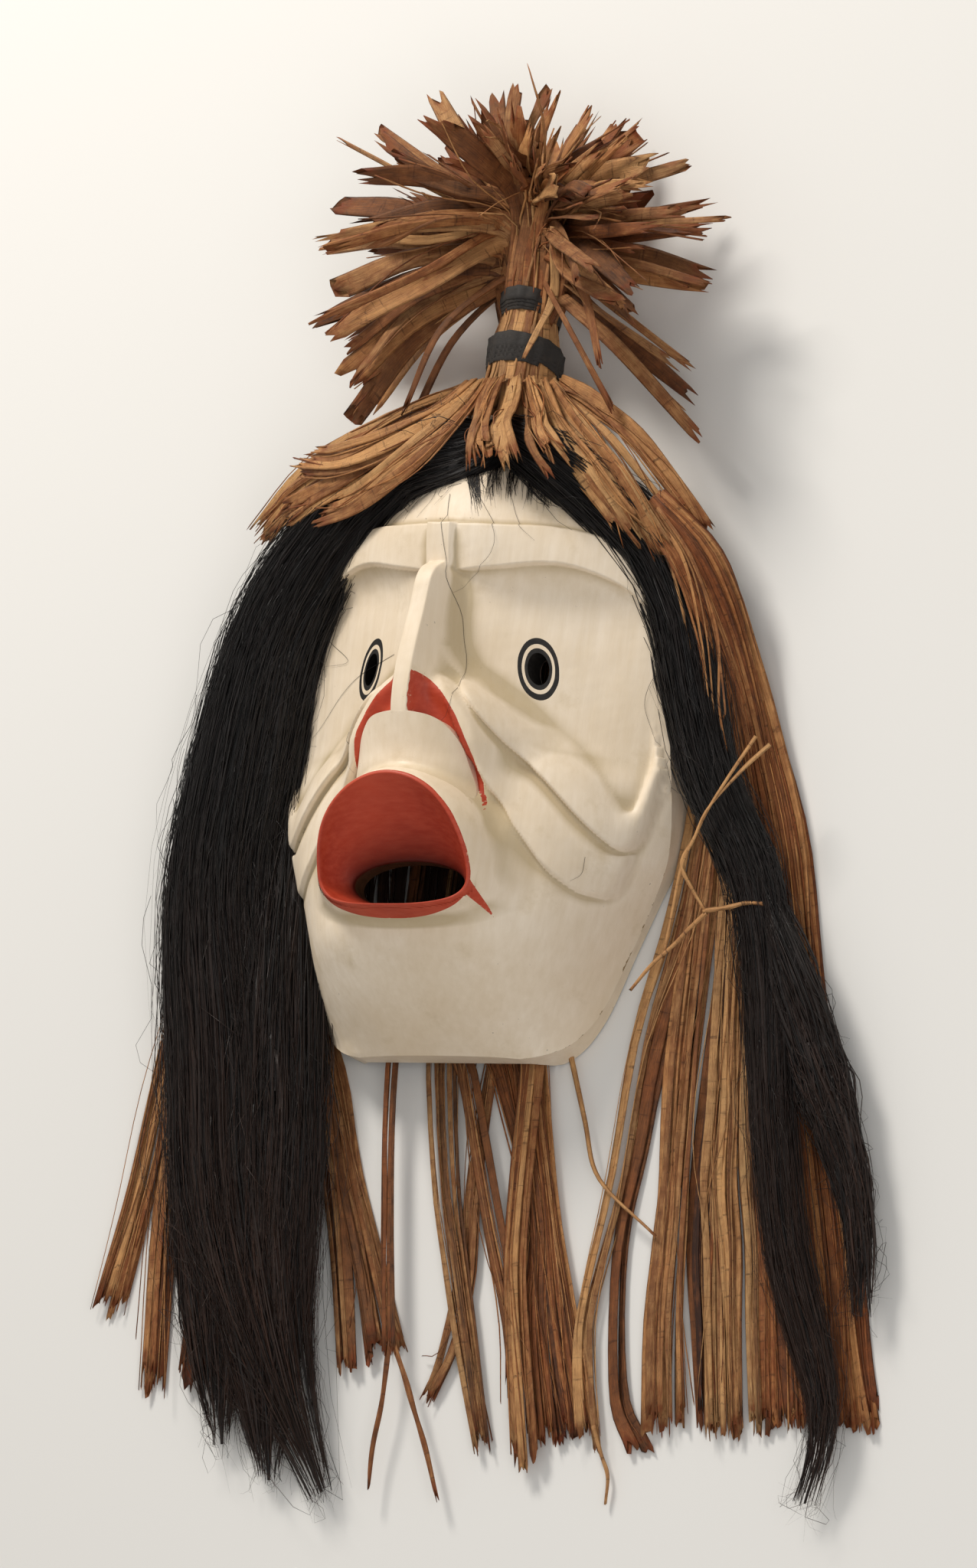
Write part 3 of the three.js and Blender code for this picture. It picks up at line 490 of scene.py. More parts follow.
# The front's rows, and where they are closer together and by how much
FACE_ROWS = 300
CLOSE_ROWS = {
    "brow": (34, 58, 1.1), "band": (66, 77, 0.8), "lower_lip": (-152, -136, 0.8), "block": (-46, -34, 0.7),
}
# Its columns on one side: those at the edges of the bridge and of the keel, and the number of the rest
NEAR_COLUMNS = np.array([0, 2.3, 4.2, 4.7, 5.1, 6.2, 7.0, 8.5, 10])
FAR_COLUMNS = 81
# How far surfaces run on under the mouth's wall, as shares of its rim, and under the upper lip's block
UNDER_MOUTH, BLOCK_UNDER_MOUTH, UNDER_BLOCK = 1.1, 1.05, 3
# Fillets where the mouth grows out of the face: sharp in the nostrils, soft elsewhere, and the block's own
SHARP_FILLET, SOFT_FILLET, BLOCK_FILLET = 0.8, 24, 9
SOFT_BESIDE, SOFT_BELOW = (1, 1.35), (82, 104)
FLANGE_OVERLAP = 0.5
HOLLOW_GRID, BLOCK_GRID = (120, 90), (56, 60)
# Rings of the mouth from its foot in: how wide its outer wall is, then the rim's land with its heights
WALL_RINGS = (1.25, 1.22, 1.18, 1.14, 1.1, 1.07, 1.045)
RIM_RINGS = ((1.035, -0.2), (1.015, 0.25), (1.0, 0.1), (0.985, -1))
# How much of the rim's width and height the funnel keeps, and the steps down through the hole
FUNNEL_RINGS = ((0.8, 0.72), (0.45, 0.35), (0.18, 0.12), (0.04, 0.0))
HOLE_RINGS = (0.15, 0.5, 1)
MOUTH_COLUMNS, MOUTH_ROWS = 144, 74
# What the paint is told of wood far from any paint, hollow and edge
PLAIN = {"red": -9.0, "eye": 9.0, "cavity": 0.0, "painted_funnel_shade": 0.0, "inside": 0.0, "rim": 9.0}


def face_rows():
    """Heights of the grid's rows."""
    fine = np.linspace(CHIN_Y, CROWN_Y, 2000)
    weight = 1 + sum(more * ((fine > low) & (fine < high)) for low, high, more in CLOSE_ROWS.values())
    reach = np.cumsum(weight)
    return np.interp(np.linspace(reach[0], reach[-1], FACE_ROWS), reach, fine)


def front_surface(patches):
    y = face_rows()
    share = np.linspace(0, 1, FAR_COLUMNS + 1)[1:]
    halves = half_width(y)[:, None]
    near = NEAR_COLUMNS * np.minimum(halves / 30, 1)
    right = np.hstack([near, near[:, -1:] + (halves - near[:, -1:]) * share])
    x = np.hstack([-right[:, :0:-1], right])
    y = np.broadcast_to(y[:, None], x.shape).copy()
    x, y, in_eye = cut_eyes(x, y)
    side = np.abs(x)
    top, foot = LIP_BLOCK["top"] - UNDER_BLOCK, LIP_BLOCK["foot"] + UNDER_BLOCK + 1
    under_block = (side < lip_block_half(y) - UNDER_BLOCK) & (y < top) & (y > foot)
    keep = whole_cells(in_eye) & whole_cells(mouth_span(x, y) < UNDER_MOUTH) & whole_cells(under_block)
    soft = np.maximum(smoothstep(nostril_span(side, y), *SOFT_BESIDE), smoothstep(-y, *SOFT_BELOW))
    fillet = lerp(SHARP_FILLET, SOFT_FILLET, soft)
    bare = soft_max(bare_floor(side, y), flange_height(x, y) - FLANGE_OVERLAP, fillet)
    inward = np.minimum(half_width(y) - side, y - CHIN_Y)
    cavity = (blur(bare, 4) - bare) * smoothstep(inward, 4, 20)
    z = bare + hand_worked(x, y) * smoothstep(half_width(y) - side, 0, 8)
    values = paint_values(x, y) | {"cavity": cavity, "rim": half_width(y) - side}
    patches.grid(xyz(x, y, z), values, keep=keep)


def outline(t, inset):
    """A walk round the mask: along the chin, up the right side, along the crown, down the left side."""
    low, high = CHIN_Y + inset, CROWN_Y - inset
    part = np.minimum(t.astype(int), 3)
    f = t - part
    sides = [part == 0, part == 1, part == 2]
    y = np.select(sides, [low, lerp(low, high, f), high], lerp(high, low, f))
    half = half_width(y) - inset
    x = np.select(sides, [half * (2 * f - 1), half, half * (1 - 2 * f)], -half)
    return x, y


def rim_base(x, y):
    """How high the rim's underside is: flat on the table, but arched over the neck."""
    arch_span = smoothstep(NECK_ARCH["half_width"] - np.abs(x), -NECK_ARCH["corner"], NECK_ARCH["corner"])
    return np.where(y < CHIN_Y + 2 * WALL, NECK_ARCH["height"] * arch_span, 0)


def mask_edges(patches):
    """The outer edge from the front down, the rim on the table and the inner edge up to the hollow."""
    t = np.linspace(0, 4, 801)
    x, y = outline(t, 0)
    side, base = np.abs(x), rim_base(x, y)
    cheek = np.maximum(cheek_height(side, y), base)
    outer_foot = xyz(x, y, base)
    outer_top = xyz(x, y, np.where(y > brow_line(side), dome_height(side, y), cheek))
    x, y = outline(t, WALL)
    hollow = hollow_height(x, y)
    inner_foot = xyz(x, y, np.minimum(rim_base(x, y - WALL), hollow))
    inner_top = xyz(x, y, hollow)
    for start, end, rows, inside in (
        (outer_foot, outer_top, 8, 0.0),
        (inner_foot, outer_foot, 5, 0.5),
        (inner_top, inner_foot, 4, 1.0),
    ):
        points = lerp(start, end, np.linspace(0, 1, rows)[:, None, None])
        patches.grid(points[:, ::-1], PLAIN | {"inside": inside})


def hollow_surface(patches):
    rows, columns = HOLLOW_GRID
    y = np.broadcast_to(np.linspace(CHIN_Y + WALL, CROWN_Y - WALL, rows)[:, None], HOLLOW_GRID)
    x = (half_width(y) - WALL) * np.linspace(-1, 1, columns)
    x, y, in_eye = cut_eyes(x, y)
    centre, size = (0, MOUTH_HOLE["y"]), (MOUTH_HOLE["half_width"], MOUTH_HOLE["height"])
    x, y, in_mouth = snap_to_oval(x, y, centre, size)
    keep = whole_cells(in_eye) & whole_cells(in_mouth)
    z = hollow_height(x, y) + 0.5 * waves(x, y, 22, 8) * smoothstep(half_width(y) - WALL - np.abs(x), 0, 6)
    patches.grid(xyz(x, y, z)[:, ::-1], PLAIN | {"inside": 1.0}, keep=keep[:, ::-1])


def eye_walls(patches):
    angle = np.linspace(0, 2 * math.pi, 49)[:-1]
    s, c = math.sin(EYE["tilt"]), math.cos(EYE["tilt"])
    across, along = EYE["half_width"] * np.cos(angle), EYE["half_height"] * np.sin(angle)
    for side in (-1, 1):
        x = side * (EYE["x"] + across * c - along * s)
        y = EYE["y"] + across * s + along * c
        share = np.linspace(0, 1, 6)[:, None]
        z = lerp(carved_height(np.abs(x), y) + 0.1, hollow_height(x, y), share)
        # The walls of the eye holes are given the pupils' black and the full recess darkening, as painted
        # shade inside the holes.
        patches.grid(xyz(x, y, z), PLAIN | {"eye": 0.1, "cavity": 1.0}, wrap=True)


def mouth_surface(patches):
    """The flared mouth: its outer wall, the land of its rim and the funnel down to the hole."""
    around = np.linspace(0, 2 * math.pi, MOUTH_COLUMNS + 1)[:-1]
    rim = mouth_rim(around)
    rim_x, rim_y = mouth_place(around, 1)
    hole_x = MOUTH_HOLE["half_width"] * np.sin(around)
    hole_y = MOUTH_HOLE["y"] + MOUTH_HOLE["height"] * np.cos(around)
    hole_z = hollow_height(hole_x, hole_y)
    edge = MOUTH_HOLE["edge"]

    def ring(span, drop):
        return xyz(*mouth_place(around, span), rim + drop)

    def wall_drop(span):
        return flange_drop(span) - SEAM["sink"] * smoothstep(span, SEAM["from"], SEAM["to"])

    rows = [ring(span, wall_drop(span)) for span in WALL_RINGS]
    rim_start = len(rows)
    rows += [ring(span, drop) for span, drop in RIM_RINGS]
    rim_end = len(rows)
    rows += [xyz(lerp(hole_x, rim_x, m), lerp(hole_y, rim_y, m), lerp(edge, rim, h)) for m, h in FUNNEL_RINGS]
    bottom = len(rows)
    rows += [xyz(hole_x, hole_y, lerp(edge, hole_z, share)) for share in HOLE_RINGS]
    stations = spline(np.stack([row.reshape(-1) for row in rows]), MOUTH_ROWS).reshape(MOUTH_ROWS, -1, 3)
    x, y, z = np.moveaxis(stations, -1, 0)
    row = np.linspace(0, len(rows) - 1, MOUTH_ROWS)[:, None] + 0 * x
    values = {
        "red": np.where(row < rim_start + 0.5, red_field(x, y), 9.0) + 0.15 * waves(x, y + z, 8, 6),
        "eye": 9.0 + 0 * x,
        # Darker down the funnel toward the hole: painted shade inside the mouth.
        "painted_funnel_shade": smoothstep(row, rim_end, bottom),
        "inside": smoothstep(row, bottom - 0.4, bottom + 0.6),
        "rim": 9.0 + 0 * x,
    }
    stations[:, :, 2] += hand_worked(x, y) * 0.6 * (row < bottom - 2)
    patches.grid(stations[:, ::-1], {key: value[:, ::-1] for key, value in values.items()}, wrap=True)


def lip_block(patches):
    """The flat block of the upper lip, cut off where the mouth's wall stands, with a skirt into the face."""
    rows, columns = BLOCK_GRID
    v = np.linspace(0, 1, rows)[:, None]
    u = np.sin(np.linspace(-1, 1, columns) * math.pi / 2)
    y = lerp(LIP_BLOCK["foot"], LIP_BLOCK["top"], np.sin(v * math.pi / 2))
    x = lip_block_half(y) * u
    y = np.broadcast_to(y, x.shape)
    z = soft_max(drum_height(np.abs(x), y), flange_height(x, y) - FLANGE_OVERLAP, BLOCK_FILLET)
    top = xyz(x, y, z + hand_worked(x, y) * 0.7)
    # The block is darkened below y = -60, where it falls toward the mouth's wall: painted shade in the hollow
    # above the rim.
    cavity = {"cavity": smoothstep(-y, 60, 74) * 0.8}
    patches.grid(top, PLAIN | cavity, keep=whole_cells(mouth_span(x, y) < BLOCK_UNDER_MOUTH))
    start = np.argmax(y[:, 0] > SKIRT["from"])
    edge = np.concatenate([top[start:, 0], top[-1, 1:], top[:start:-1, -1]])
    patches.grid(np.stack([edge, edge - [0, 0, SKIRT["depth"]]]), PLAIN)


def carved_mask(material):
    patches = Patches(*PLAIN)
    front_surface(patches)
    mask_edges(patches)
    hollow_surface(patches)
    eye_walls(patches)
    mouth_surface(patches)
    lip_block(patches)
    patches.build("carved_mask", material, ["mask_face"])


# Strips and strands
UP = np.array([0.0, 0.0, 1.0])
FLOOR_GAP = 0.15
STRIP_LEVEL, HAIR_LEVEL = 0.7, 1
BARK_VALUES = ("tone", "warm", "along", "across", "tip")
HAIR_VALUES = ("tone", "along", "across")
BARK_SECTION = np.array([
    (1, 0), (0.7, 0.9), (0.3, 0.5), (-0.1, 1), (-0.45, 0.55), (-0.75, 0.95), (-1, 0), (-0.5, -0.8),
    (0.5, -0.8),
])
FIBRE_SECTION = np.array([(1, 0), (0, 1), (-1, 0), (0, -1)])
HAIR_SECTION = np.array([(1, -0.5), (0, 1), (-1, -0.5)])
BAND_SECTION = np.array([
    (1, 0), (0.94, 0.9), (0.4, 0.4), (-0.3, 1), (-0.94, 0.5), (-1, 0), (-0.5, -0.5), (0.5, -0.5),
])


def unit(v):
    return v / np.maximum(np.linalg.norm(v, axis=-1, keepdims=True), 1e-9)


def smooth_paths(keys, count):
    """Smooth paths through key places: (paths, keys, numbers) becomes (paths, count, numbers)."""
    n, steps, size = keys.shape
    flat = keys.transpose(1, 0, 2).reshape(steps, n * size)
    return spline(flat, count).reshape(count, n, size).transpose(1, 0, 2)


def drift(rng, n, count, size, knots=5):
    """Smooth wandering along n paths, nothing at their starts."""
    keys = rng.normal(0, 1, (n, knots, 3)) * size
    keys[:, 0] = 0
    return smooth_paths(keys, count)


def sweep(patches, paths, widths, thicks, section, values, turn=0.0, relief=1.0, fray=0.0, up=UP):
    """Adds closed strips along paths: a cross-section with its width, thickness and turn at each place."""
    along = unit(np.gradient(paths, axis=1))
    across = unit(np.cross(along, up))
    over = np.cross(across, along)
    turn = np.broadcast_to(turn, paths.shape[:2])[..., None]
    across, over = across * np.cos(turn) + over * np.sin(turn), over * np.cos(turn) - across * np.sin(turn)
    wide = (widths / 2)[..., None] * section[:, 0]
    high = (thicks / 2)[..., None] * section[:, 1] * relief
    flat = paths[:, :, None] + across[:, :, None] * wide[..., None]
    flat = flat + along[:, :, None] * np.expand_dims(fray, -1)
    points = flat + over[:, :, None] * high[..., None]
    points[..., 2] = np.maximum(points[..., 2], FLOOR_GAP)

    def closed(body, ends):
        return np.concatenate([ends[:, :1], body, ends[:, -1:]], axis=1)

    full = {key: np.broadcast_to(value, points.shape[:3]) for key, value in values.items()}
    patches.tubes(closed(points, flat), {key: closed(value, value) for key, value in full.items()})


def reach_of(paths):
    """How far along its path each place is, in millimetres."""
    steps = np.linalg.norm(np.diff(paths, axis=1), axis=2)
    return np.concatenate([np.zeros((len(paths), 1)), np.cumsum(steps, axis=1)], axis=1)


def shred(patches, rng, keys, width, thickness=1.2, count=24, wander=1.2, twist=0.3, tone=(0.3, 0.8),
          warm=(0.3, 0.7), taper=0.85, fray=5.0, section=BARK_SECTION, up=UP):
    """Adds torn strips of bark that follow the key places."""
    keys = np.asarray(keys, float)
    n = len(keys)
    paths = smooth_paths(keys, count) + drift(rng, n, count, np.array([wander, wander, wander * 0.3]))
    paths[..., 2] = np.maximum(paths[..., 2], STRIP_LEVEL)
    t = np.linspace(0, 1, count)
    uneven = 1 + 0.12 * drift(rng, n, count, 1.0, 7)[..., 0]
    width = np.broadcast_to(width, n)[:, None] * lerp(1, taper, t) * np.clip(uneven, 0.6, 1.5)
    thick = np.broadcast_to(thickness, n)[:, None] * np.ones(count)
    turn = drift(rng, n, count, twist, 4)[..., 0] + rng.normal(0, twist * 0.5, (n, 1))
    relief = np.clip(1 + rng.normal(0, 0.3, (n, 1, len(section))), 0.3, 1.8)
    torn = rng.uniform(-1, 1, (n, 1, len(section))) * fray * smoothstep(t, 1 - 2.2 / count, 1)[:, None]
    reach = reach_of(paths)
    values = {
        "tone": rng.uniform(*tone, (n, 1, 1)),
        "warm": rng.uniform(*warm, (n, 1, 1)),
        "along": reach[..., None] + rng.uniform(0, 900, (n, 1, 1)),
        "across": width[..., None] * section[:, 0] / 2 + rng.uniform(0, 900, (n, 1, 1)),
        "tip": (reach[:, -1:] - reach)[..., None],
    }
    sweep(patches, paths, width, thick, section, values, turn, relief, torn, up)


def beside(rng, inner, outer, count, levels, ends=10.0, jumble=0.8):
    """Key places of strips side by side between two lines, at mixed levels, with uneven ends."""
    inner, outer = np.asarray(inner, float), np.asarray(outer, float)
    share = (np.arange(count) + 0.5 + rng.uniform(-jumble, jumble, count)) / count
    keys = inner + (outer - inner) * np.clip(share, 0, 1)[:, None, None]
    keys[:, :, 2] += rng.uniform(*levels, (count, 1))
    last = unit(keys[:, -1] - keys[:, -2])
    keys[:, -1] += last * rng.uniform(-ends, ends * 0.3, (count, 1))
    return keys


def about(line, widths):
    """The two edges of a bundle that follows a middle line."""
    line = np.asarray(line, float)
    along = unit(np.gradient(line, axis=0))
    side = xyz(-along[:, 1], along[:, 0], 0) * np.asarray(widths, float)[:, None] / 2
    return line + side, line - side


# The hanging bark, from the crown down: the right sheet's two edges
RIGHT_SHEET_OUTER = [
    (101, 100, 44), (130, 76, 32), (143, 53, 22), (154, 18, 12), (166, -17, 5), (190, -79, 1), (208, -145, 1),
    (227, -208, 1), (256, -303, 1), (270, -360, 1), (280, -396, 1),
]
RIGHT_SHEET_INNER = [
    (94, 88, 50), (116, 62, 46), (134, 26, 34), (146, -8, 18), (152, -44, 5), (160, -85, 1), (170, -145, 1),
    (182, -208, 1), (200, -303, 1), (209, -360, 1), (215, -396, 1),
]
# Bundles: a middle line, the widths along it, the number of strips, and how light and how red they are
RIGHT_BUNDLES = [
    ([(142, 20, 12), (150, -50, 1), (157, -103, 1), (165, -187, 1), (169, -226, 1), (173, -265, 1),
      (181, -303, 1), (187, -342, 1), (197, -400, 1)],
     [12, 16, 20, 22, 22, 28, 30, 30, 32], 15, (0.55, 0.9), (0.2, 0.5)),
    ([(130, 20, 10), (134, -50, 1), (135, -103, 1), (136, -187, 1), (138, -226, 1), (141, -265, 1),
      (143, -295, 1), (146, -342, 1), (154, -398, 1)],
     [10, 12, 16, 19, 18, 16, 17, 22, 27], 11, (0.4, 0.8), (0.35, 0.65)),
    ([(126, 10, 2), (128, -60, 2), (124, -124, 2), (112, -188, 2), (108, -265, 2), (99, -332, 2),
      (101, -361, 2), (112, -408, 2)], [9, 10, 13, 14, 14, 10, 10, 10], 4, (0.7, 0.95), (0.3, 0.5)),
    ([(150, -40, 0), (156, -130, 0), (157, -220, 0), (160, -300, 0), (168, -350, 0), (176, -396, 0)],
     [14, 16, 16, 14, 12, 10], 5, (0.05, 0.3), (0.6, 0.9)),
    ([(136, -60, 0), (124, -180, 0), (118, -240, 0), (112, -300, 0), (122, -380, 0), (141, -414, 0)],
     [8, 8, 7, 6, 5, 8], 2, (0.2, 0.4), (0.5, 0.7)),
]
LEFT_BUNDLES = [
    ([(-122, 69, 0), (-142, 2, 0), (-160, -85, 0), (-170, -145, 0), (-180, -205, 0), (-187, -272, 0),
      (-198, -341, 0)], [20, 20, 22, 18, 14, 12, 14], 8, (0.5, 0.85), (0.5, 0.8)),
    ([(-116, 66, 0), (-136, 0, 0), (-152, -85, 0), (-160, -145, 0), (-168, -205, 0), (-170, -290, 0),
      (-164, -382, 0)], [18, 20, 20, 20, 18, 16, 14], 9, (0.45, 0.8), (0.5, 0.8)),
    ([(-112, 60, 0), (-130, -20, 0), (-138, -110, 0), (-134, -200, 0), (-130, -290, 0), (-128, -378, 0)],
     [16, 20, 24, 30, 36, 40], 12, (0.2, 0.6), (0.5, 0.8)),
    ([(-118, 20, 0), (-124, -80, 0), (-112, -150, 0), (-88, -205, 0), (-72, -260, 0), (-58, -310, 0),
      (-44, -370, 0)], [10, 12, 12, 11, 10, 9, 9], 4, (0.35, 0.6), (0.2, 0.5)),
    ([(-112, 10, 0), (-119, -90, 0), (-100, -160, 0), (-76, -215, 0), (-58, -270, 0), (-38, -320, 0),
      (-23, -361, 0)], [12, 14, 14, 14, 15, 18, 24], 8, (0.3, 0.6), (0.3, 0.6)),
]
CENTRE_BUNDLES = [
    ([(14, 60, 0), (18, -80, 0), (20, -182, 0), (19, -208, 0), (19, -273, 0), (22, -322, 0), (17, -360, 0),
      (8, -387, 0)], [11] * 8, 4, (0.4, 0.6), (0.3, 0.5)),
    ([(-16, 100, 2), (-15, 0, 2), (-14, -100, 2), (-13, -183, 2), (1, -264, 2), (14, -312, 2), (29, -360, 2),
      (46, -412, 2)], [15, 15, 15, 15, 12, 10, 10, 9], 6, (0.4, 0.65), (0.15, 0.4)),
    ([(12, 100, 1), (14, 0, 1), (20, -100, 1), (28, -183, 1), (37, -206, 1), (63, -283, 1), (74, -341, 1),
      (92, -405, 1)], [34, 34, 34, 36, 32, 17, 34, 42], 26, (0.25, 0.75), (0.5, 0.95)),
    ([(-4, 100, 4), (-4, 0, 4), (-3, -100, 4), (-1, -191, 4), (6, -212, 4), (31, -283, 4), (52, -341, 4),
      (61, -384, 4)], [9] * 8, 4, (0.45, 0.7), (0.4, 0.7)),
    ([(30, 100, 6), (34, 0, 6), (40, -100, 6), (44, -192, 6), (46, -217, 6), (50, -284, 6), (55, -332, 6),
      (73, -419, 6)], [10] * 8, 4, (0.55, 0.8), (0.5, 0.8)),
]
# Strips inside the hollow, seen through the mouth, with tones below the others' so they show near black:
# painted shade inside the mask.
INSIDE_BUNDLE = (
    [(-40, 40, 1), (-44, -50, 1), (-44, -110, 1), (-36, -188, 1)],
    [60, 72, 74, 54], 34, (-0.3, 0.05), (0.2, 0.6),
)
CORD_STEM = [(-36, 60, 11), (-37, -80, 11), (-37, -200, 11), (-26, -290, 12), (-15, -362, 12)]
CORD_TAILS = [
    [(-15, -358, 12), (-15, -385, 11), (-17, -410, 10), (-18, -437, 9)],
    [(-13, -358, 12), (0, -385, 11), (13, -412, 10), (24, -440, 9)],
]
OVER_HAIR = [(102, 88, 50), (122, 58, 45), (136, 20, 38), (144, -15, 32), (149, -48, 24)]
OVER_HAIR_WIDTHS = [10, 14, 18, 18, 14]
SHEET_STRIPS, SHEET_FIBRES = 30, 40
STRIP_OVERLAP, STRIP_WIDTHS = (1.1, 2.9), (2.2, 8)
TWIG_STEM = [(153, -73, 40), (146, -88, 38), (139, -102, 35)]
TWIGS = [
    [(176, -33, 40), (164, -54, 41), *TWIG_STEM, (146, -116, 32), (153, -127, 30)],
    [(184, -37, 38), (170, -52, 40), *TWIG_STEM, (134, -124, 30), (128, -150, 24)],
    [(152, -126, 30), (164, -125, 31), (176, -123, 31), (188, -121, 30)],
    [(154, -127, 30), (140, -140, 28), (125, -152, 26), (110, -167, 22)],
    [(62, -186, 2), (83, -235, 6), (99, -269, 8), (136, -296, 8)],
    [(112, -400, 5), (119, -416, 4), (124, -428, 3), (124, -440, 2)],
]


def fibres(patches, rng, keys, width=0.9, thickness=0.6, fray=2, **looks):
    """Adds single fibres of bark, which are strips with a plain thin section."""
    shred(patches, rng, keys, width, thickness, fray=fray, section=FIBRE_SECTION, **looks)


def hang(patches, rng, bundles, low, high):
    """Adds bundles of strips whose levels lie between two heights, with fibres and a few stray ones."""
    for line, widths, count, tone, warm in bundles:
        edges = about(line, widths)
        keys = beside(rng, *edges, count, (low, high))
        width = np.clip(widths[-1] / count * rng.uniform(*STRIP_OVERLAP, count), *STRIP_WIDTHS)
        mixed = (tone[0] - 0.15, tone[1] + 0.08)
        shred(patches, rng, keys, width, tone=mixed, warm=warm, taper=1.0, wander=1.1)
        fine = beside(rng, *edges, count, (low, high + 0.8), jumble=1.5)
        fibres(patches, rng, fine, wander=1.8, tone=tone, warm=warm)
        stray = beside(rng, *edges, count // 3, (high, high + 1.5), ends=24, jumble=2)
        fibres(patches, rng, stray, 0.7, 0.5, wander=4.5, tone=tone, warm=warm)


def bark_piece(name, lay, seed, material, solids):
    """Makes one piece of bark, whose strips lay(patches, rng) adds."""
    patches = Patches(*BARK_VALUES)
    lay(patches, np.random.default_rng(seed))
    patches.build(name, material, solids)


def lay_right(patches, rng):
    sheet = (RIGHT_SHEET_INNER, RIGHT_SHEET_OUTER)
    keys = beside(rng, *sheet, SHEET_STRIPS, (0.3, 2.2))
    shred(patches, rng, keys, rng.uniform(3, 9, SHEET_STRIPS), count=34, tone=(0.2, 0.75), warm=(0.65, 1.0),
          taper=1.15)
    fine = beside(rng, *sheet, SHEET_FIBRES, (1.5, 3.4), jumble=2)
    fibres(patches, rng, fine, fray=5, count=34, tone=(0.3, 0.9), warm=(0.6, 1.0), wander=1.6)
    hang(patches, rng, RIGHT_BUNDLES, 0.2, 3.8)
    light = beside(rng, *about(OVER_HAIR, OVER_HAIR_WIDTHS), 7, (0, 2.5), ends=30)
    shred(patches, rng, light, rng.uniform(1.0, 2.4, 7), 1.0, tone=(0.5, 0.95), warm=(0.3, 0.8), wander=1.8)
    for line in TWIGS:
        fibres(patches, rng, [line], 3.0, 2.0, 1, tone=(0.8, 0.95), warm=(0.4, 0.5), taper=0.6, wander=0.5)


def lay_left(patches, rng):
    hang(patches, rng, LEFT_BUNDLES, 0.2, 4.4)


def lay_centre(patches, rng):
    hang(patches, rng, CENTRE_BUNDLES, 0.2, 2.6)
    hang(patches, rng, [INSIDE_BUNDLE], 0.2, 4)


def lay_cord(patches, rng):
    keys = beside(rng, *about(CORD_STEM, [8, 8, 7.5, 7, 7]), 4, (0, 1.2), ends=3)
    shred(patches, rng, keys, 3, 1.4, tone=(0.2, 0.5), warm=(0.5, 0.8), wander=0.4)
    for tail in CORD_TAILS:
        shred(patches, rng, [tail], 3.4, 1.8, tone=(0.4, 0.6), warm=(0.5, 0.7), taper=0.7, wander=0.4)


# The bundle on the crown, its two bands, the strips over the hair and the burst of cut ends
CORE = {"y0": 139, "y1": 222, "z": 33}
CORE_STRIPS, CORE_SHORTENED = 26, 9
# A band: its turns and how they start and arch, its spread and strip as shares of its width, its thickness
BAND = {"turns": 3.4, "arch": 4.5, "start": 0.6, "spread": 0.23, "width": 0.56, "lift": 0.9, "layer": 0.5}
HUB = np.array([0.0, 223.0, 36.0])
core_radius = profile([
    (139, 27), (150, 24), (163, 19.8), (176, 18.6), (190, 16.6), (204, 14.2), (212, 14.6), (220, 16.5),
])
CROWN_BARK = [
    [(-24, 162, 38), (-50, 144, 54), (-82, 126, 58), (-115, 111, 50), (-149, 80, 36)],
    [(-22, 161, 45), (-40, 134, 66), (-70, 115, 70), (-110, 101, 58), (-140, 82, 46)],
    [(-18, 160, 51), (-28, 128, 78), (-54, 104, 86), (-89, 94, 72), (-124, 84, 55)],
    [(-12, 160, 56), (-18, 134, 82), (-42, 116, 92), (-74, 108, 84), (-106, 112, 70)],
    [(-6, 160, 58), (-8, 126, 88), (-30, 103, 95), (-62, 88, 84), (-91, 84, 70)],
    [(1, 160, 60), (5, 141, 76), (12, 121, 92), (18, 102, 96)],
    [(9, 160, 58), (18, 140, 74), (26, 121, 92), (32, 106, 95)],
    [(15, 160, 54), (32, 140, 70), (46, 121, 86), (60, 106, 86)],
    [(19, 160, 48), (48, 128, 68), (78, 98, 70), (98, 73, 58)],
    [(22, 161, 42), (58, 130, 60), (88, 98, 60), (111, 61, 46)],
    [(24, 162, 36), (64, 140, 46), (98, 108, 42), (122, 80, 32)],
]
# The burst: its reach by the angle in degrees, its strips, their angles, and how they rise and bend out
burst_reach = profile([(-125, 128), (-90, 126), (-40, 112), (0, 108), (50, 104), (90, 122), (125, 118)])
BURST = {"strips": 100, "spread": 125, "lift": (-14, 48), "foot": 198, "upright": 16, "neck": 19}
# Strips with their own place in the photograph: where each ends, how wide it is and how light
LONG_ENDS = [
    (-59, 316, 60, 12, 0.85), (-6, 318, 70, 9, 0.55), (-29, 318, 50, 9, 0.5), (5, 322, 55, 7, 0.6),
    (-112, 259, 60, 14, 0.35), (-124, 242, 40, 12, 0.7), (-104, 211, 60, 15, 0.65), (-112, 150, 20, 13, 0.5),
    (-106, 304, 40, 7, 0.6), (-118, 296, 56, 3, 0.7), (55, 292, 45, 9, 0.4), (91, 277, 50, 9, 0.65),
    (124, 246, 60, 4, 0.7), (122, 214, 60, 6, 0.55), (105, 140, 30, 8, 0.55), (92, 165, 12, 10, 0.2),
    (116, 170, 52, 5, 0.6), (38, 295, 50, 8, 0.25), (-97, 183, 50, 8, 0.45), (-54, 146, 64, 5, 0.4),
    (-70, 150, 20, 5, 0.3), (70, 146, 56, 4, 0.5), (-88, 292, 66, 10, 0.4), (66, 262, 70, 12, 0.5),
]
OVER_BANDS = [(25, 244, 62), (23, 226, 56), (21, 208, 48), (17, 190, 51), (12, 174, 55)]


def round_core(angle, radius, y):
    """Places round the bundle's own axis."""
    return xyz(np.cos(angle) * radius, y, CORE["z"] + np.sin(angle) * radius)


def outward(angle):
    return xyz(np.cos(angle), 0, np.sin(angle))


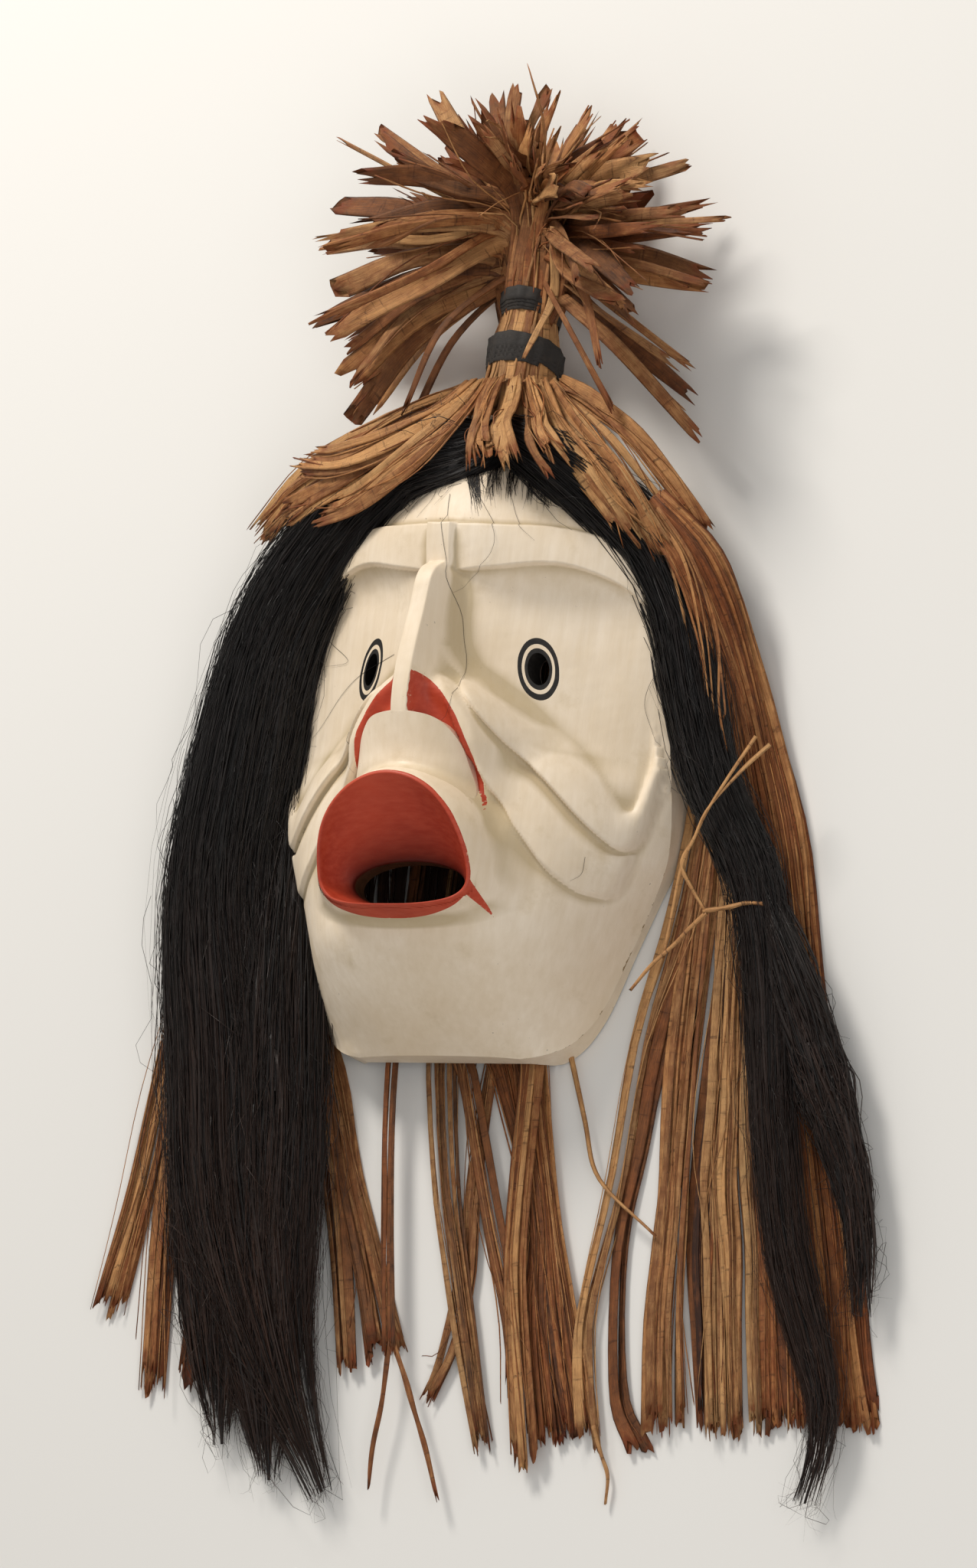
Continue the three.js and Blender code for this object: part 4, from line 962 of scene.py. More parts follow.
def lay_bundle(patches, rng):
    even = np.linspace(0, 2 * math.pi, CORE_STRIPS + 1)[:-1]
    angle = even + rng.uniform(-0.06, 0.06, CORE_STRIPS)
    y = np.linspace(CORE["y0"], CORE["y1"] - CORE_SHORTENED, 7)
    keys = round_core(angle[:, None], core_radius(y) - 0.7, y)
    for line, turn in zip(keys, angle):
        shred(patches, rng, [line], rng.uniform(5, 9), 1.8, count=14, wander=0.3, twist=0.12,
              tone=(0.55, 0.95), warm=(0.3, 0.6), fray=2, up=outward(turn))


def wound_band(name, y, width, material):
    """A dark strip of cloth wound round the bundle, each turn partly over the one before."""
    share = np.linspace(0, 1, 240)
    turns = BAND["start"] + share * BAND["turns"] * 2 * math.pi
    place_y = y + width * lerp(-BAND["spread"], BAND["spread"], share)
    place_y = place_y + 0.7 * np.sin(turns + 1) + BAND["arch"] * np.sin(turns)
    ribs = 0.35 * np.sin(13 * turns + 1) + 0.25 * np.sin(29 * turns)
    radius = core_radius(place_y) + BAND["lift"] + BAND["layer"] * share * BAND["turns"] + ribs
    path = round_core(turns, radius, place_y)[None]
    widths = BAND["width"] * width * (1 + 0.05 * np.sin(5.3 * turns) + 0.03 * np.sin(17 * turns))[None]
    values = {"along": reach_of(path)[..., None], "across": width * BAND_SECTION[:, 0] / 2}
    patches = Patches("along", "across")
    sweep(patches, path, widths, np.ones_like(widths), BAND_SECTION, values, up=outward(turns)[None])
    patches.build(f"wound_{name}", material, [name])


def lay_crown(patches, rng):
    for line in CROWN_BARK:
        edges = about(spline(line, 6), np.linspace(9, 15, 6))
        keys = beside(rng, *edges, 4, (-0.4, 1.8), ends=14, jumble=0.7)
        shred(patches, rng, keys, rng.uniform(4, 8.5, 4), 1.6, count=18, wander=0.8, tone=(0.55, 1.0), fray=8)
        fine = beside(rng, *edges, 5, (0.5, 2.6), ends=16, jumble=2)
        fibres(patches, rng, fine, 1.0, 0.7, count=18, wander=2.2, tone=(0.4, 0.9), warm=(0.4, 1.0))


def burst_keys(rng, ends, lift=6):
    """Key places of strips that leave the bundle upright and bend out to their ends."""
    ends = np.asarray(ends, float)
    n = len(ends)
    side = unit(ends - HUB)
    out = unit(side * (1, 0, 1) + (0, 0, 0.02))
    start = (0, BURST["foot"], CORE["z"]) + out * rng.uniform(5, 11, (n, 1))
    waist = start + (0, BURST["upright"], 0) + out * 3
    rise = xyz(0, 8 + 26 * np.maximum(side[:, 2], 0), 1)
    neck = HUB + side * BURST["neck"] + rise
    middle = lerp(HUB, ends, 0.58) + (0, 3, lift) + rise * (0, 0.5, 0)
    return np.stack([start, waist, neck, middle, ends], axis=1)


def lay_burst(patches, rng):
    n = BURST["strips"]
    angle = np.radians(rng.uniform(-BURST["spread"], BURST["spread"], n))
    lift = np.radians(rng.uniform(*BURST["lift"], n))
    shortest = lerp(0.62, 0.82, smoothstep(np.abs(angle), 1.4, 1.8))
    reach = burst_reach(np.degrees(angle)) * rng.uniform(shortest, 0.95)
    flat = reach * np.cos(lift)
    ends = HUB + xyz(np.sin(angle) * flat, np.cos(angle) * flat, reach * np.sin(lift))
    ends[:, 2] = np.maximum(ends[:, 2], 3)
    shred(patches, rng, burst_keys(rng, ends), rng.uniform(6, 14.5, n), 1.6, count=20, wander=3.0, twist=0.45,
          tone=(0.25, 0.95), warm=(0.35, 0.8), taper=1.0, fray=11)
    shred(patches, rng, [OVER_BANDS], 6.5, 1.6, wander=0.6, tone=(0.85, 0.95), warm=(0.3, 0.4),
          taper=0.35, fray=3)
    for *end, width, tone in LONG_ENDS:
        shred(patches, rng, burst_keys(rng, [end], 14), width, 1.8, count=26, wander=2.0, twist=0.25,
              tone=(tone - 0.05, tone + 0.05), warm=(0.35, 0.6), taper=0.95, fray=7)
    fine = ends + rng.normal(0, 9, ends.shape)
    fine[:, 2] = np.clip(fine[:, 2], 3, 110)
    fibres(patches, rng, burst_keys(rng, fine), rng.uniform(0.7, 1.8, n), 0.8, 3, count=16, wander=5.0,
           twist=0.6, tone=(0.3, 0.95), warm=(0.4, 0.8))


# Hair: places, half widths and half thicknesses along each lock
HAIR_LEFT = [
    [
        (14, 121, 72, 11, 7), (-6, 113, 79, 18, 8.5), (-26, 109, 78, 20, 10), (-50, 100, 68, 21, 14),
        (-95, 70, 43, 27, 21), (-127, 20, 32, 31, 21), (-140, -50, 26, 35, 18), (-143, -120, 24, 37, 16),
        (-126, -200, 21, 42, 14), (-110, -290, 18, 42, 11), (-82, -370, 14, 22, 7), (-46, -440, 9, 4, 2),
    ],
    [
        (-92, 66, 34, 20, 14), (-136, -10, 26, 29, 15), (-150, -110, 22, 30, 14), (-142, -210, 18, 27, 11),
        (-127, -310, 14, 25, 8), (-118, -370, 12, 16, 5), (-112, -415, 8, 4, 2),
    ],
    [
        (-112, 20, 12, 10, 5), (-115, -60, 20, 18, 11), (-110, -150, 23, 26, 14), (-104, -240, 20, 32, 12),
        (-98, -330, 15, 29, 9), (-86, -395, 11, 15, 5), (-80, -434, 8, 4, 2),
    ],
]
HAIR_RIGHT = [
    [
        (6, 125, 68, 10, 7), (26, 122, 72, 11, 8.5), (52, 107, 66, 14, 12), (88, 79, 42, 15, 15),
        (113, 40, 30, 15, 14), (127, -5, 27, 14, 12), (142, -50, 24, 12, 10), (163, -85, 22, 11, 9),
        (178, -112, 20, 11, 9), (192, -165, 19, 11, 8), (202, -229, 17, 10, 7), (221, -306, 16, 10, 6),
        (241, -355, 14, 10, 5), (255, -398, 12, 7, 4), (247, -440, 9, 3, 2),
    ],
    [
        (176, -108, 20, 9, 8), (205, -165, 19, 13, 8), (225, -205, 17, 13, 7), (238, -232, 16, 11, 6),
        (253, -268, 14, 8, 5), (262, -300, 13, 5, 4), (268, -340, 12, 3, 2),
    ],
]


# Layers of strands on a lock: their number, widths, depths, places along each, wander, and ends or starts
STRAND_LAYERS = [
    (170, (2, 4.5), (0.88, 0.96), 20, 1.2, {}),
    (620, (0.6, 1.4), (0.92, 1.03), 16, 2.0, {"ends": (0.6, 1.0)}),
    (400, (0.3, 0.6), (0.96, 1.12), 13, 3.2, {"ends": (0.5, 1.0)}),
    (70, (0.2, 0.4), (0.9, 1.2), 16, 6, {"ends": (0.7, 1.12), "first": 0.85}),
    (200, (0.2, 0.36), (0.9, 1.35), 10, 6, {"first": 0.95, "short": (0.06, 0.2)}),
]
LOCK_STATIONS, LOCK_THINNEST = 80, (6, 2.5)
LONGEST_TIP = 60


def hair_values(rng, paths, widths):
    """What the hair's material is told: each strand's tone, and places along and across it."""
    n = len(paths)
    return {
        "tone": rng.uniform(0, 1, (n, 1, 1)),
        "along": reach_of(paths)[..., None] + rng.uniform(0, 500, (n, 1, 1)),
        "across": rng.uniform(0, 500, (n, 1, 1)) + widths[..., None] * HAIR_SECTION[:, 0] / 2,
    }


def lock_core(patches, lock):
    """The solid middle of a lock, a little thinner than the lock, and much thinner at its tip."""
    count = 90
    ring = np.linspace(0, 2 * math.pi, 29)[:-1]
    flutes = 1 + 0.035 * np.sin(ring * 7 + 1) + 0.03 * np.sin(ring * 4)
    section = np.stack([np.cos(ring), np.sin(ring)], -1) * flutes[:, None]
    lock = spline(lock, count)[None]
    values = {"tone": 0.1, "along": reach_of(lock[..., :3])[..., None], "across": ring * 12}
    thinned = 0.88 * (1 - 0.75 * smoothstep(np.linspace(0, 1, count), 0.68, 0.97))
    size = lock[..., 3:] * 2 * thinned[:, None]
    sweep(patches, lock[..., :3], size[..., 0], size[..., 1], section, values)


def strands(patches, rng, lock, count, width, depth, stations, wander, ends=(0.75, 1.02), first=0.5,
            short=()):
    """Many strands that follow a lock at their own places round it, thinner toward their ends."""
    twist = np.linspace(0, 1, stations) * rng.normal(0, 0.3, (count, 1))
    angle = rng.uniform(-0.35, math.pi + 0.35, (count, 1)) + twist
    ends = rng.uniform(*ends, (count, 1))
    starts = first * rng.uniform(0, 1, (count, 1)) ** 2
    if short:
        starts = rng.uniform(0, first, (count, 1))
        ends = starts + rng.uniform(*short, (count, 1))
    t = np.linspace(0, 1, stations)
    at = np.minimum(starts + (ends - starts) * t, 1)
    line = spline(lock, LOCK_STATIONS)
    line = np.hstack([line, unit(np.gradient(line[:, :3], axis=0))])
    shares = np.arange(LOCK_STATIONS) / (LOCK_STATIONS - 1)
    found = np.stack([np.interp(at, shares, column) for column in line.T], -1)
    side = unit(np.cross(found[..., 5:], UP))
    reach = rng.uniform(*depth, (count, 1))
    wide, high = np.moveaxis(np.maximum(found[..., 3:5], LOCK_THINNEST), -1, 0)
    paths = found[..., :3] + side * (wide * reach * np.cos(angle))[..., None]
    paths = paths + UP * (high * reach * np.sin(angle))[..., None]
    beyond = np.maximum(ends - 1, 0) * LONGEST_TIP * t
    paths = paths + found[..., 5:] * beyond[..., None]
    paths = paths + drift(rng, count, stations, wander, 6) * np.array([1, 1, 0.5])
    paths[..., 2] = np.maximum(paths[..., 2], HAIR_LEVEL)
    widths = rng.uniform(*width, (count, 1)) * (1 - 0.9 * t**3)
    sweep(patches, paths, widths, widths * 0.7, HAIR_SECTION, hair_values(rng, paths, widths))


def hair(name, locks, seed, amounts, material, replaced=()):
    """Makes one piece of hair, whose locks have their own share of the layers' strands."""
    rng = np.random.default_rng(seed)
    patches = Patches(*HAIR_VALUES)
    for lock, amount in zip(locks, amounts):
        lock_core(patches, lock)
        for count, width, depth, stations, wander, span in STRAND_LAYERS:
            strands(patches, rng, lock, int(count * amount), width, depth, stations, wander, **span)
    patches.build(name, material, replaced)


# Loose hairs that lie on the painted face, as places over the face from left to right and from chin to crown
FACE_HAIRS = [
    [(13, 90), (28, 69), (28, 55), (16, 41), (11, 32)],
    [(-2, 88), (4, 58), (8, 40), (14, 22), (17, 6), (22, -13), (24, -36), (10, -51), (-4, -66)],
    [(109, 3), (105, -2), (103, -15), (109, -31), (112, -35)],
    [(-107, 35), (-93, 20), (-74, 6), (-96, 6)],
    [(-31, 3), (-59, -3), (-76, -12), (-92, -27), (-105, -36)],
    [(31, 88), (39, 73), (49, 64)],
    [(54, 96), (66, 86), (81, 69), (91, 52), (92, 42)],
    [(-53, -34), (-47, -50), (-38, -66)],
    [(88, -102), (87, -111), (83, -116)],
    [(-71, 65), (-80, 52), (-85, 40), (-98, 34)],
]
# Small tufts over the brow, from root to tip, and the edge of the hair over the forehead
TUFTS = [
    ((4, 104), (16, 84)), ((12, 114), (22, 89)), ((21, 116), (30, 91)), ((30, 115), (39, 90)),
    ((38, 112), (47, 89)),
]
hairline = profile([
    (-73, 84), (-39, 87), (-9, 91), (7, 104), (16, 113), (25, 114), (42, 105), (60, 92), (83, 76), (98, 60),
])
# The layers of hair on the crown: how many, how wide at least and at most, and how far off the wood
CROWN_LAYERS = [(130, 2.6, 4.6, 2.0), (380, 0.5, 1.1, 3.2), (160, 0.25, 0.4, 4.0)]
TUFT_HAIRS, STRAY_HAIRS = 46, 70


def face_surface(x, y):
    side = np.abs(x)
    return np.maximum(carved_height(side, y), flange_height(x, y) * (mouth_span(x, y) < 1.4))


def crown_hair(material):
    """Hair that leaves the foot of the bundle and spreads over the crown, under the bark."""
    rng = np.random.default_rng(52)
    patches = Patches(*HAIR_VALUES)
    for n, thinnest, widest, lift in CROWN_LAYERS:
        turn = rng.uniform(-1.35, 1.35, n)
        s = np.sin(turn)
        z = CORE["z"] + 20 * np.cos(turn)
        side = np.where(s > 0.25, 1, -1)
        places = [(20 * s, 141), (33 * s, 131), (47 * s + 2, 122 - 7 * s * s)]
        places.append((58 * s + 13 * side, 113 - 22 * s * s))
        keys = np.stack([xyz(x, y, z) for x, y in places], 1)
        keys[:, 1:, :2] += rng.normal(0, 2.0, (n, 3, 2))
        keys[:, 3, 1] = np.maximum(keys[:, 3, 1], hairline(keys[:, 3, 0]) + rng.uniform(0, 5, n))
        paths = smooth_paths(keys, 16)
        y = np.clip(paths[..., 1], CHIN_Y, CROWN_Y - 1)
        x = np.clip(paths[..., 0], 1 - half_width(y), half_width(y) - 1)
        on_face = carved_height(np.abs(x), y) + lift + rng.uniform(-1, 1, (n, 1))
        paths[..., 2] = lerp(paths[..., 2], on_face, smoothstep(paths[..., 1], 141, 130))
        widths = rng.uniform(thinnest, widest, (n, 1)) * (1 - 0.8 * np.linspace(0, 1, 16) ** 4)
        sweep(patches, paths, widths, widths * 0.5, HAIR_SECTION, hair_values(rng, paths, widths))
    patches.build("hair_over_crown", material)


def lay_hairs(patches, rng, keys, count, width, lift):
    """Hairs laid on the carved face along key places in its plan, each in a curve of count places."""
    flat = smooth_paths(keys, count)
    x, y = flat[..., 0], np.clip(flat[..., 1], CHIN_Y + 2, CROWN_Y - 2)
    paths = xyz(x, y, face_surface(x, y) + lift + rng.uniform(0, 0.6, (len(keys), 1)))
    widths = rng.uniform(*width, (len(keys), 1)) * (1 - 0.7 * np.linspace(0, 1, count) ** 2)
    values = {"tone": rng.uniform(0.3, 1, (len(keys), 1, 1)), "along": reach_of(paths)[..., None]}
    sweep(patches, paths, widths, widths, HAIR_SECTION, values)


def bowed(rng, roots, tips, bow):
    """Key places from roots to tips, with middles a little off the straight line."""
    return np.stack([roots, lerp(roots, tips, 0.5) + rng.normal(0, bow, roots.shape), tips], 1)


def loose_hairs(material):
    rng = np.random.default_rng(51)
    patches = Patches(*HAIR_VALUES)
    for line in FACE_HAIRS:
        lay_hairs(patches, rng, np.array([line], float), 40, (0.2, 0.26), 0.3)
    for root, tip in TUFTS:
        roots = root + rng.normal(0, 1, (TUFT_HAIRS, 2)) * (2.4, 1.5)
        tips = tip + rng.normal(0, 1, (TUFT_HAIRS, 2)) * (1.6, 3.5)
        lay_hairs(patches, rng, bowed(rng, roots, tips, 0.5), 14, (0.18, 0.32), 0.2)
    x = rng.uniform(-60, 85, STRAY_HAIRS)
    roots = np.stack([x, hairline(x) + 5], -1)
    away = [np.sign(x) * rng.uniform(6, 30, STRAY_HAIRS), rng.uniform(-20, -5, STRAY_HAIRS)]
    lay_hairs(patches, rng, bowed(rng, roots, roots + np.stack(away, -1), 3), 20, (0.16, 0.24), 0.4)
    patches.build("loose_hairs", material)


# Materials
class Shader:
    """A short way to write a node material: every call adds one node and gives back its output."""

    def __init__(self, name):
        self.material = bpy.data.materials.new(name)
        self.material.use_nodes = True
        self.tree = self.material.node_tree
        self.surface = self.tree.nodes["Principled BSDF"]

    def put(self, socket, value):
        if isinstance(value, bpy.types.NodeSocket):
            self.tree.links.new(value, socket)
        elif value is not None:
            socket.default_value = value

    def node(self, kind, inputs=(), output=0, **settings):
        node = self.tree.nodes.new(kind)
        for key, value in settings.items():
            setattr(node, key, value)
        for key, value in dict(inputs).items():
            self.put(node.inputs[key], value)
        return node.outputs[output]

    def value_of(self, name):
        return self.node("ShaderNodeAttribute", output="Fac", attribute_name=name)

    def math(self, operation, a, b=0.0, c=0.0):
        return self.node("ShaderNodeMath", {0: a, 1: b, 2: c}, operation=operation)

    def noise(self, where, scale, detail=4.0, roughness=0.55, stretch=(1, 1, 1)):
        mapped = self.node("ShaderNodeMapping", {"Vector": where, "Scale": stretch})
        inputs = {"Vector": mapped, "Scale": scale, "Detail": detail, "Roughness": roughness}
        return self.node("ShaderNodeTexNoise", inputs)

    def ramp(self, value, low, high, to_low=0.0, to_high=1.0):
        inputs = {"Value": value, "From Min": low, "From Max": high, "To Min": to_low, "To Max": to_high}
        return self.node("ShaderNodeMapRange", inputs, clamp=True)

    def mix(self, share, under, over):
        """A share of one colour over another, where a plain one is given as it looks on a screen."""
        node = self.tree.nodes.new("ShaderNodeMix")
        node.data_type = "RGBA"
        for place, value in ((0, share), (6, under), (7, over)):
            self.put(node.inputs[place], colour(*value) if isinstance(value, tuple) else value)
        return node.outputs[2]

    def strip_place(self, layer):
        """A place across and along a strip, in a layer that differs from strip to strip."""
        across, along = self.value_of("across"), self.value_of("along")
        return self.node("ShaderNodeCombineXYZ", {"X": across, "Y": along, "Z": layer})

    def bump(self, height, strength, distance, under=None):
        inputs = {"Height": height, "Strength": strength, "Distance": distance}
        if under is not None:
            inputs["Normal"] = under
        return self.node("ShaderNodeBump", inputs)

    def finish(self, **inputs):
        for key, value in inputs.items():
            self.put(self.surface.inputs[key.replace("_", " ")], value)
        return self.material


def colour(red, green, blue):
    """A paint colour given as it looks on a screen, from 0 to 255."""
    linear = [((c / 255 + 0.055) / 1.055) ** 2.4 if c > 10 else c / 255 / 12.92 for c in (red, green, blue)]
    return (*linear, 1.0)


def painted_wood():
    s = Shader("painted_wood")
    spot = s.node("ShaderNodeTexCoord", output="Object")
    red, eye, cavity = s.value_of("red"), s.value_of("eye"), s.value_of("cavity")
    cloud = s.noise(spot, 14, 5)
    grain = s.noise(spot, 240, 5, 0.6, (1, 0.07, 1))
    brush = s.noise(spot, 420, 3, 0.5, (0.25, 0.9, 1))
    fine = s.noise(spot, 1500, 2)
    cream = s.mix(s.ramp(cloud, 0.36, 0.66), (236, 216, 188), (249, 233, 211))
    cream = s.mix(s.ramp(grain, 0.3, 0.7, 0, 0.3), cream, (214, 190, 152))
    blotch = s.ramp(s.noise(spot, 32, 6, 0.65), 0.57, 0.72, 0, 0.4)
    cream = s.mix(blotch, cream, (202, 178, 136))
    # Darker in the recesses: the patina the carving holds there, and painted shade where the lip block's
    # lower part and the eye holes' walls are given it.
    patina_and_shade = s.math("ADD", cavity, s.math("MULTIPLY", s.math("SUBTRACT", s.noise(spot, 60, 5), 0.5), 0.5))
    cream = s.mix(s.ramp(patina_and_shade, 0.1, 1.2, 0, 0.62), cream, (178, 156, 112))
    speck_field = s.noise(spot, 330, 3, 0.7)
    specks = s.math("MULTIPLY", s.ramp(speck_field, 0.70, 0.74), s.ramp(s.noise(spot, 25, 2), 0.48, 0.62))
    cream = s.mix(s.math("MULTIPLY", specks, 0.7), cream, (96, 76, 50))
    worn = s.ramp(s.math("MULTIPLY_ADD", s.noise(spot, 90, 5, 0.7), -4.0, s.value_of("rim")), -2.3, -2.1)
    cream = s.mix(worn, (150, 124, 86), cream)
    red_paint = s.mix(s.ramp(cloud, 0.35, 0.65), (170, 54, 30), (198, 74, 46))
    red_paint = s.mix(s.ramp(brush, 0.35, 0.7, 0, 0.45), red_paint, (204, 88, 60))
    # The red darkens to near black down the funnel: painted shade inside the mouth.
    red_paint = s.mix(s.ramp(s.value_of("painted_funnel_shade"), 0.05, 0.95, 0, 0.93), red_paint, (58, 12, 6))
    chips = s.math("MULTIPLY", s.ramp(s.noise(spot, 420, 4, 0.7), 0.6, 0.64), s.ramp(red, 0.9, 0.1))
    red_paint = s.mix(chips, red_paint, (228, 190, 160))
    black = s.mix(s.ramp(brush, 0.4, 0.7, 0, 0.5), (24, 21, 19), (52, 47, 42))
    ring = s.math("MULTIPLY", s.math("LESS_THAN", eye, 1.0), s.math("GREATER_THAN", eye, 0.8))
    disc = s.math("LESS_THAN", eye, 0.67)
    surface = s.mix(s.math("GREATER_THAN", red, 0.0), cream, red_paint)
    surface = s.mix(s.math("MAXIMUM", ring, disc), surface, black)
    # Bare wood on the back and inside the shell, in a darker brown than bare cedar: its own colour, darkened
    # further as painted shade in the hollow.
    bare = s.mix(s.ramp(grain, 0.3, 0.7), (58, 38, 24), (92, 64, 42))
    surface = s.mix(s.ramp(s.value_of("inside"), 0.35, 0.6), surface, bare)
    rough = s.ramp(s.noise(spot, 90, 4), 0.3, 0.7, 0.42, 0.62)
    low = s.bump(s.noise(spot, 120, 4, 0.6, (1, 0.35, 1)), 0.25, 0.0006)
    height = s.math("ADD", s.math("MULTIPLY", grain, 0.6), s.math("MULTIPLY", fine, 0.4))
    normal = s.bump(height, 0.28, 0.0004, low)
    return s.finish(Base_Color=surface, Roughness=rough, Normal=normal, Specular_IOR_Level=0.4)


def bark_material():
    s = Shader("cedar_bark")
    spot = s.node("ShaderNodeTexCoord", output="Object")
    tone, warm, tip = s.value_of("tone"), s.value_of("warm"), s.value_of("tip")
    place = s.strip_place(tone)
    fibre = s.noise(place, 2.2, 4, 0.6, (1, 0.03, 40))
    thread = s.noise(place, 7.0, 3, 0.55, (1, 0.02, 40))
    patch = s.noise(place, 0.09, 5, 0.65, (1.5, 1, 40))
    crossed = s.noise(place, 0.5, 3, 0.6, (0.12, 1, 40))
    light = s.math("ADD", tone, s.math("MULTIPLY_ADD", patch, 0.9, -0.45))
    light = s.math("ADD", light, s.math("MULTIPLY_ADD", fibre, 0.7, -0.35))
    cool = s.mix(s.ramp(light, 0.0, 0.5), (50, 32, 20), (130, 92, 56))
    cool = s.mix(s.ramp(light, 0.5, 1.0), cool, (206, 166, 114))
    red = s.mix(s.ramp(light, 0.0, 0.5), (52, 24, 10), (146, 80, 38))
    red = s.mix(s.ramp(light, 0.5, 1.0), red, (216, 150, 88))
    surface = s.mix(s.math("ADD", warm, s.math("MULTIPLY_ADD", s.noise(spot, 40, 4), 0.6, -0.3)), cool, red)
    surface = s.mix(s.ramp(thread, 0.52, 0.72, 0, 0.55), surface, (52, 28, 14))
    surface = s.mix(s.ramp(crossed, 0.59, 0.7, 0, 0.6), surface, (60, 30, 14))
    rust = s.math("MULTIPLY", s.ramp(tip, 14, 2), s.ramp(s.noise(spot, 130, 4), 0.42, 0.6))
    surface = s.mix(s.math("MULTIPLY", rust, 0.7), surface, (128, 56, 20))
    height = s.math("ADD", s.math("MULTIPLY", fibre, 0.7), s.math("MULTIPLY", thread, 0.5))
    normal = s.bump(height, 0.75, 0.0008)
    rough = s.ramp(fibre, 0.3, 0.7, 0.5, 0.75)
    return s.finish(Base_Color=surface, Roughness=rough, Normal=normal, Specular_IOR_Level=0.35)


def hair_material():
    s = Shader("dark_hair")
    spot = s.node("ShaderNodeTexCoord", output="Object")
    tone = s.value_of("tone")
    place = s.strip_place(tone)
    fine = s.noise(place, 5.0, 3, 0.6, (1, 0.012, 30))
    broad = s.noise(place, 0.8, 3, 0.5, (1, 0.02, 30))
    mixed = s.math("ADD", s.math("MULTIPLY", fine, 0.5), s.math("MULTIPLY", tone, 0.5))
    down_the_hair = s.node("ShaderNodeSeparateXYZ", {"Vector": spot}, output=1)
    aged = s.ramp(down_the_hair, -0.02, -0.3)
    # Strands of higher tone turn from near black to brown, a painted sheen on the dark hair, warmer further
    # down the hair.
    painted_sheen = s.mix(aged, (34, 26, 24), (62, 40, 28))
    surface = s.mix(s.ramp(mixed, 0.25, 0.8), (9, 7, 7), painted_sheen)
    surface = s.mix(s.math("MULTIPLY", s.ramp(broad, 0.5, 0.8, 0, 0.7), aged), surface, (84, 50, 32))
    normal = s.bump(fine, 0.6, 0.0006)
    rough = s.ramp(fine, 0.3, 0.7, 0.36, 0.55)
    return s.finish(Base_Color=surface, Roughness=rough, Normal=normal, Specular_IOR_Level=0.45)


def band_material():
    s = Shader("dark_band")
    spot = s.node("ShaderNodeTexCoord", output="Object")
    weave = s.noise(s.strip_place(0.0), 3.0, 3, 0.6, (1, 0.15, 1))
    dust = s.noise(spot, 120, 5, 0.65)
    surface = s.mix(s.ramp(weave, 0.3, 0.7), (28, 25, 23), (50, 45, 41))
    surface = s.mix(s.ramp(dust, 0.5, 0.7, 0, 0.5), surface, (76, 68, 60))
    normal = s.bump(s.math("ADD", weave, dust), 0.4, 0.0005)
    return s.finish(Base_Color=surface, Roughness=s.ramp(dust, 0.3, 0.7, 0.6, 0.85), Normal=normal)


def add_camera():
    right, up = Vector(VIEW_RIGHT).normalized(), Vector(VIEW_UP).normalized()
    back = right.cross(up).normalized()
    up = back.cross(right)
    data = bpy.data.cameras.new("photo_camera")
    data.sensor_fit = "VERTICAL"
    data.sensor_height = SENSOR
    data.lens = SENSOR * VIEW_DISTANCE / VIEW_HEIGHT
    data.clip_end = 20
    camera = bpy.data.objects.new("photo_camera", data)
    turn = Matrix((right, up, back)).transposed().to_4x4()
    camera.matrix_world = Matrix.Translation(Vector(world(VIEW_AIM)) + back * VIEW_DISTANCE * MM) @ turn
    bpy.context.scene.collection.objects.link(camera)
    bpy.context.scene.camera = camera


# Each light's place and size in metres, its power and its tint
LIGHTS = {
    "key": ((-0.9, 1.7, 1.5), 0.7, 42, (1.0, 0.96, 0.9)),
    "fill": ((1.2, -0.6, 1.6), 1.2, 8, (1, 1, 1)),
}
LIT_PLACE = (0, -40, 40)
SKY_TINT, SKY_STRENGTH = (1.0, 0.985, 0.96, 1), 0.42
FLOOR_HALF, FLOOR_Z = 6, -0.001


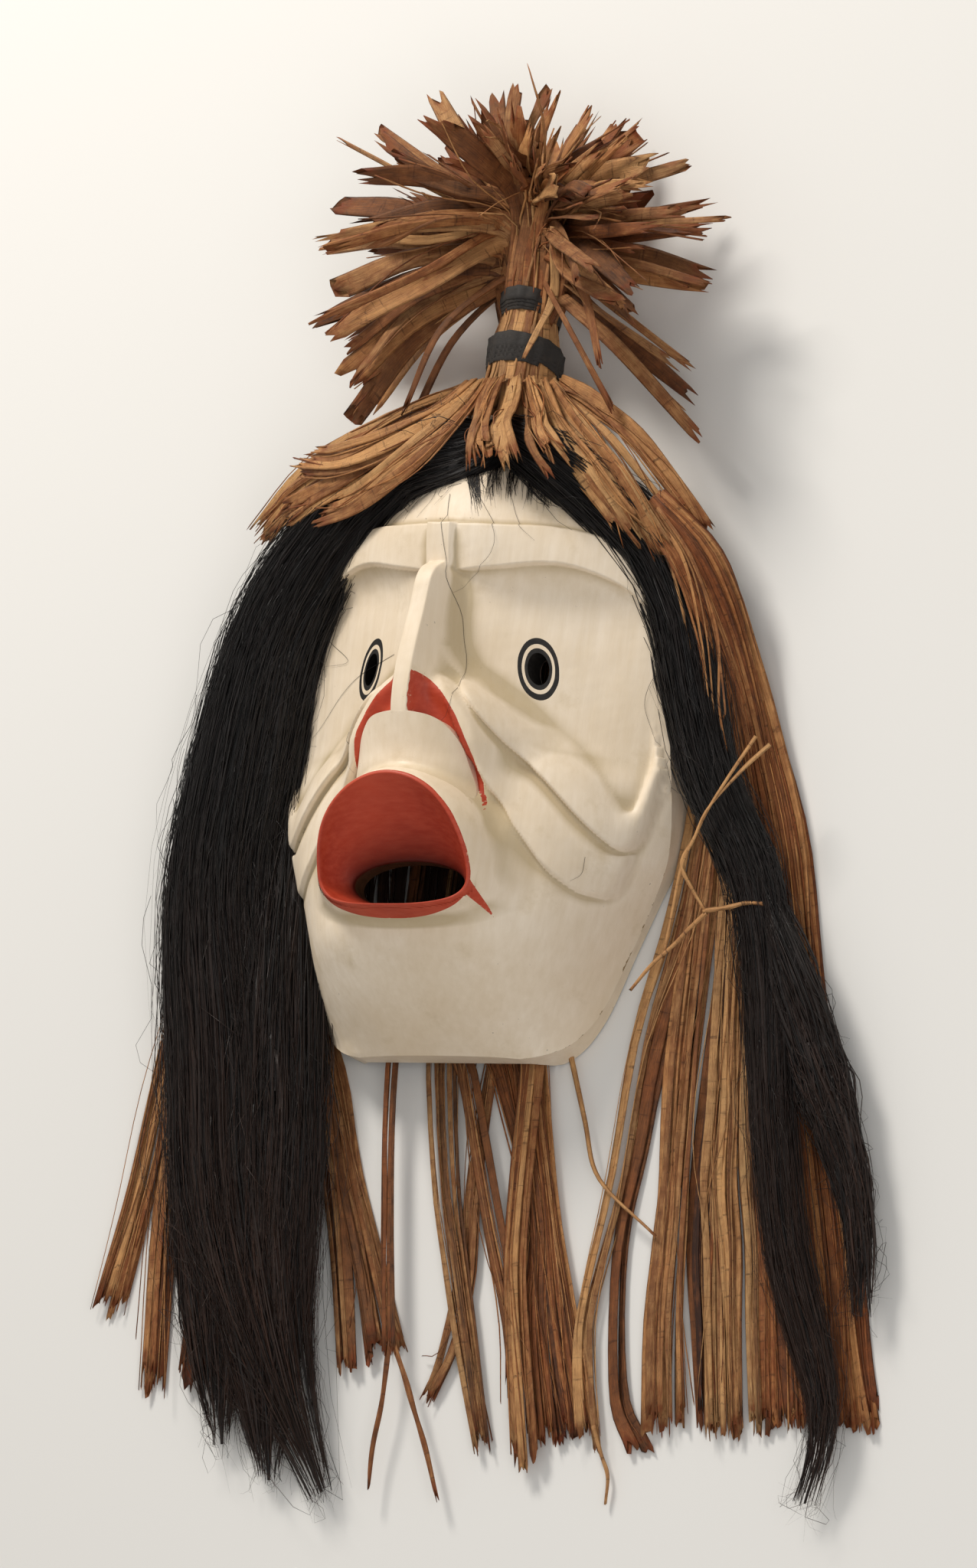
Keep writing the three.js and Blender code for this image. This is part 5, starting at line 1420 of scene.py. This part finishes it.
def add_light(name, place, size, power, tint):
    data = bpy.data.lights.new(name, "AREA")
    data.shape = "DISK"
    data.size = size
    data.energy = power
    data.color = tint
    lamp = bpy.data.objects.new(name, data)
    at, aim = Vector(place), Vector(world(LIT_PLACE))
    lamp.matrix_world = Matrix.Translation(at) @ (at - aim).to_track_quat("Z", "Y").to_matrix().to_4x4()
    bpy.context.scene.collection.objects.link(lamp)


def add_stage():
    """The pale floor, the studio's even light and its two lamps."""
    mesh = bpy.data.meshes.new("floor")
    corners = [(x * FLOOR_HALF, y * FLOOR_HALF, FLOOR_Z) for x, y in ((-1, -1), (1, -1), (1, 1), (-1, 1))]
    mesh.from_pydata(corners, [], [(0, 1, 2, 3)])
    floor = bpy.data.objects.new("floor", mesh)
    bpy.context.scene.collection.objects.link(floor)
    mesh.materials.append(Shader("pale_floor").finish(Base_Color=colour(236, 234, 230), Roughness=0.9))
    studio = bpy.data.worlds.new("studio")
    studio.use_nodes = True
    background = studio.node_tree.nodes["Background"]
    background.inputs["Color"].default_value = SKY_TINT
    background.inputs["Strength"].default_value = SKY_STRENGTH
    bpy.context.scene.world = studio
    for name, light in LIGHTS.items():
        add_light(name, *light)
    bpy.context.scene.view_settings.view_transform = "Standard"


add_stage()
add_camera()
carved_mask(painted_wood())
bark = bark_material()
bark_piece("hanging_bark_right", lay_right, 21, bark, numbered("bark_right", 10))
bark_piece("hanging_bark_left", lay_left, 22, bark, numbered("bark_left", 7))
bark_piece("hanging_bark_centre", lay_centre, 23, bark, [*numbered("bark_centre", 7), "bark_crossing"])
bark_piece("twisted_cord", lay_cord, 24, bark, ["bark_cord"])
bark_piece("tied_bundle", lay_bundle, 31, bark, ["topknot_core"])
bark_piece("bark_burst", lay_burst, 33, bark, numbered("topknot_fan", 7))
bark_piece("bark_over_crown", lay_crown, 32, bark, numbered("crown_bark", 11))
band_dark = band_material()
wound_band("band_lower", 176, 17, band_dark)
wound_band("band_upper", 204, 13, band_dark)
hair_dark = hair_material()
hair("long_hair_left", HAIR_LEFT[:1], 41, [0.95], hair_dark, ["hair_left"])
hair("long_hair_left_lower", HAIR_LEFT[1:], 43, [0.48, 0.48], hair_dark)
hair("long_hair_right", HAIR_RIGHT, 42, [0.8, 0.38], hair_dark, ["hair_right"])
crown_hair(hair_dark)
loose_hairs(hair_dark)
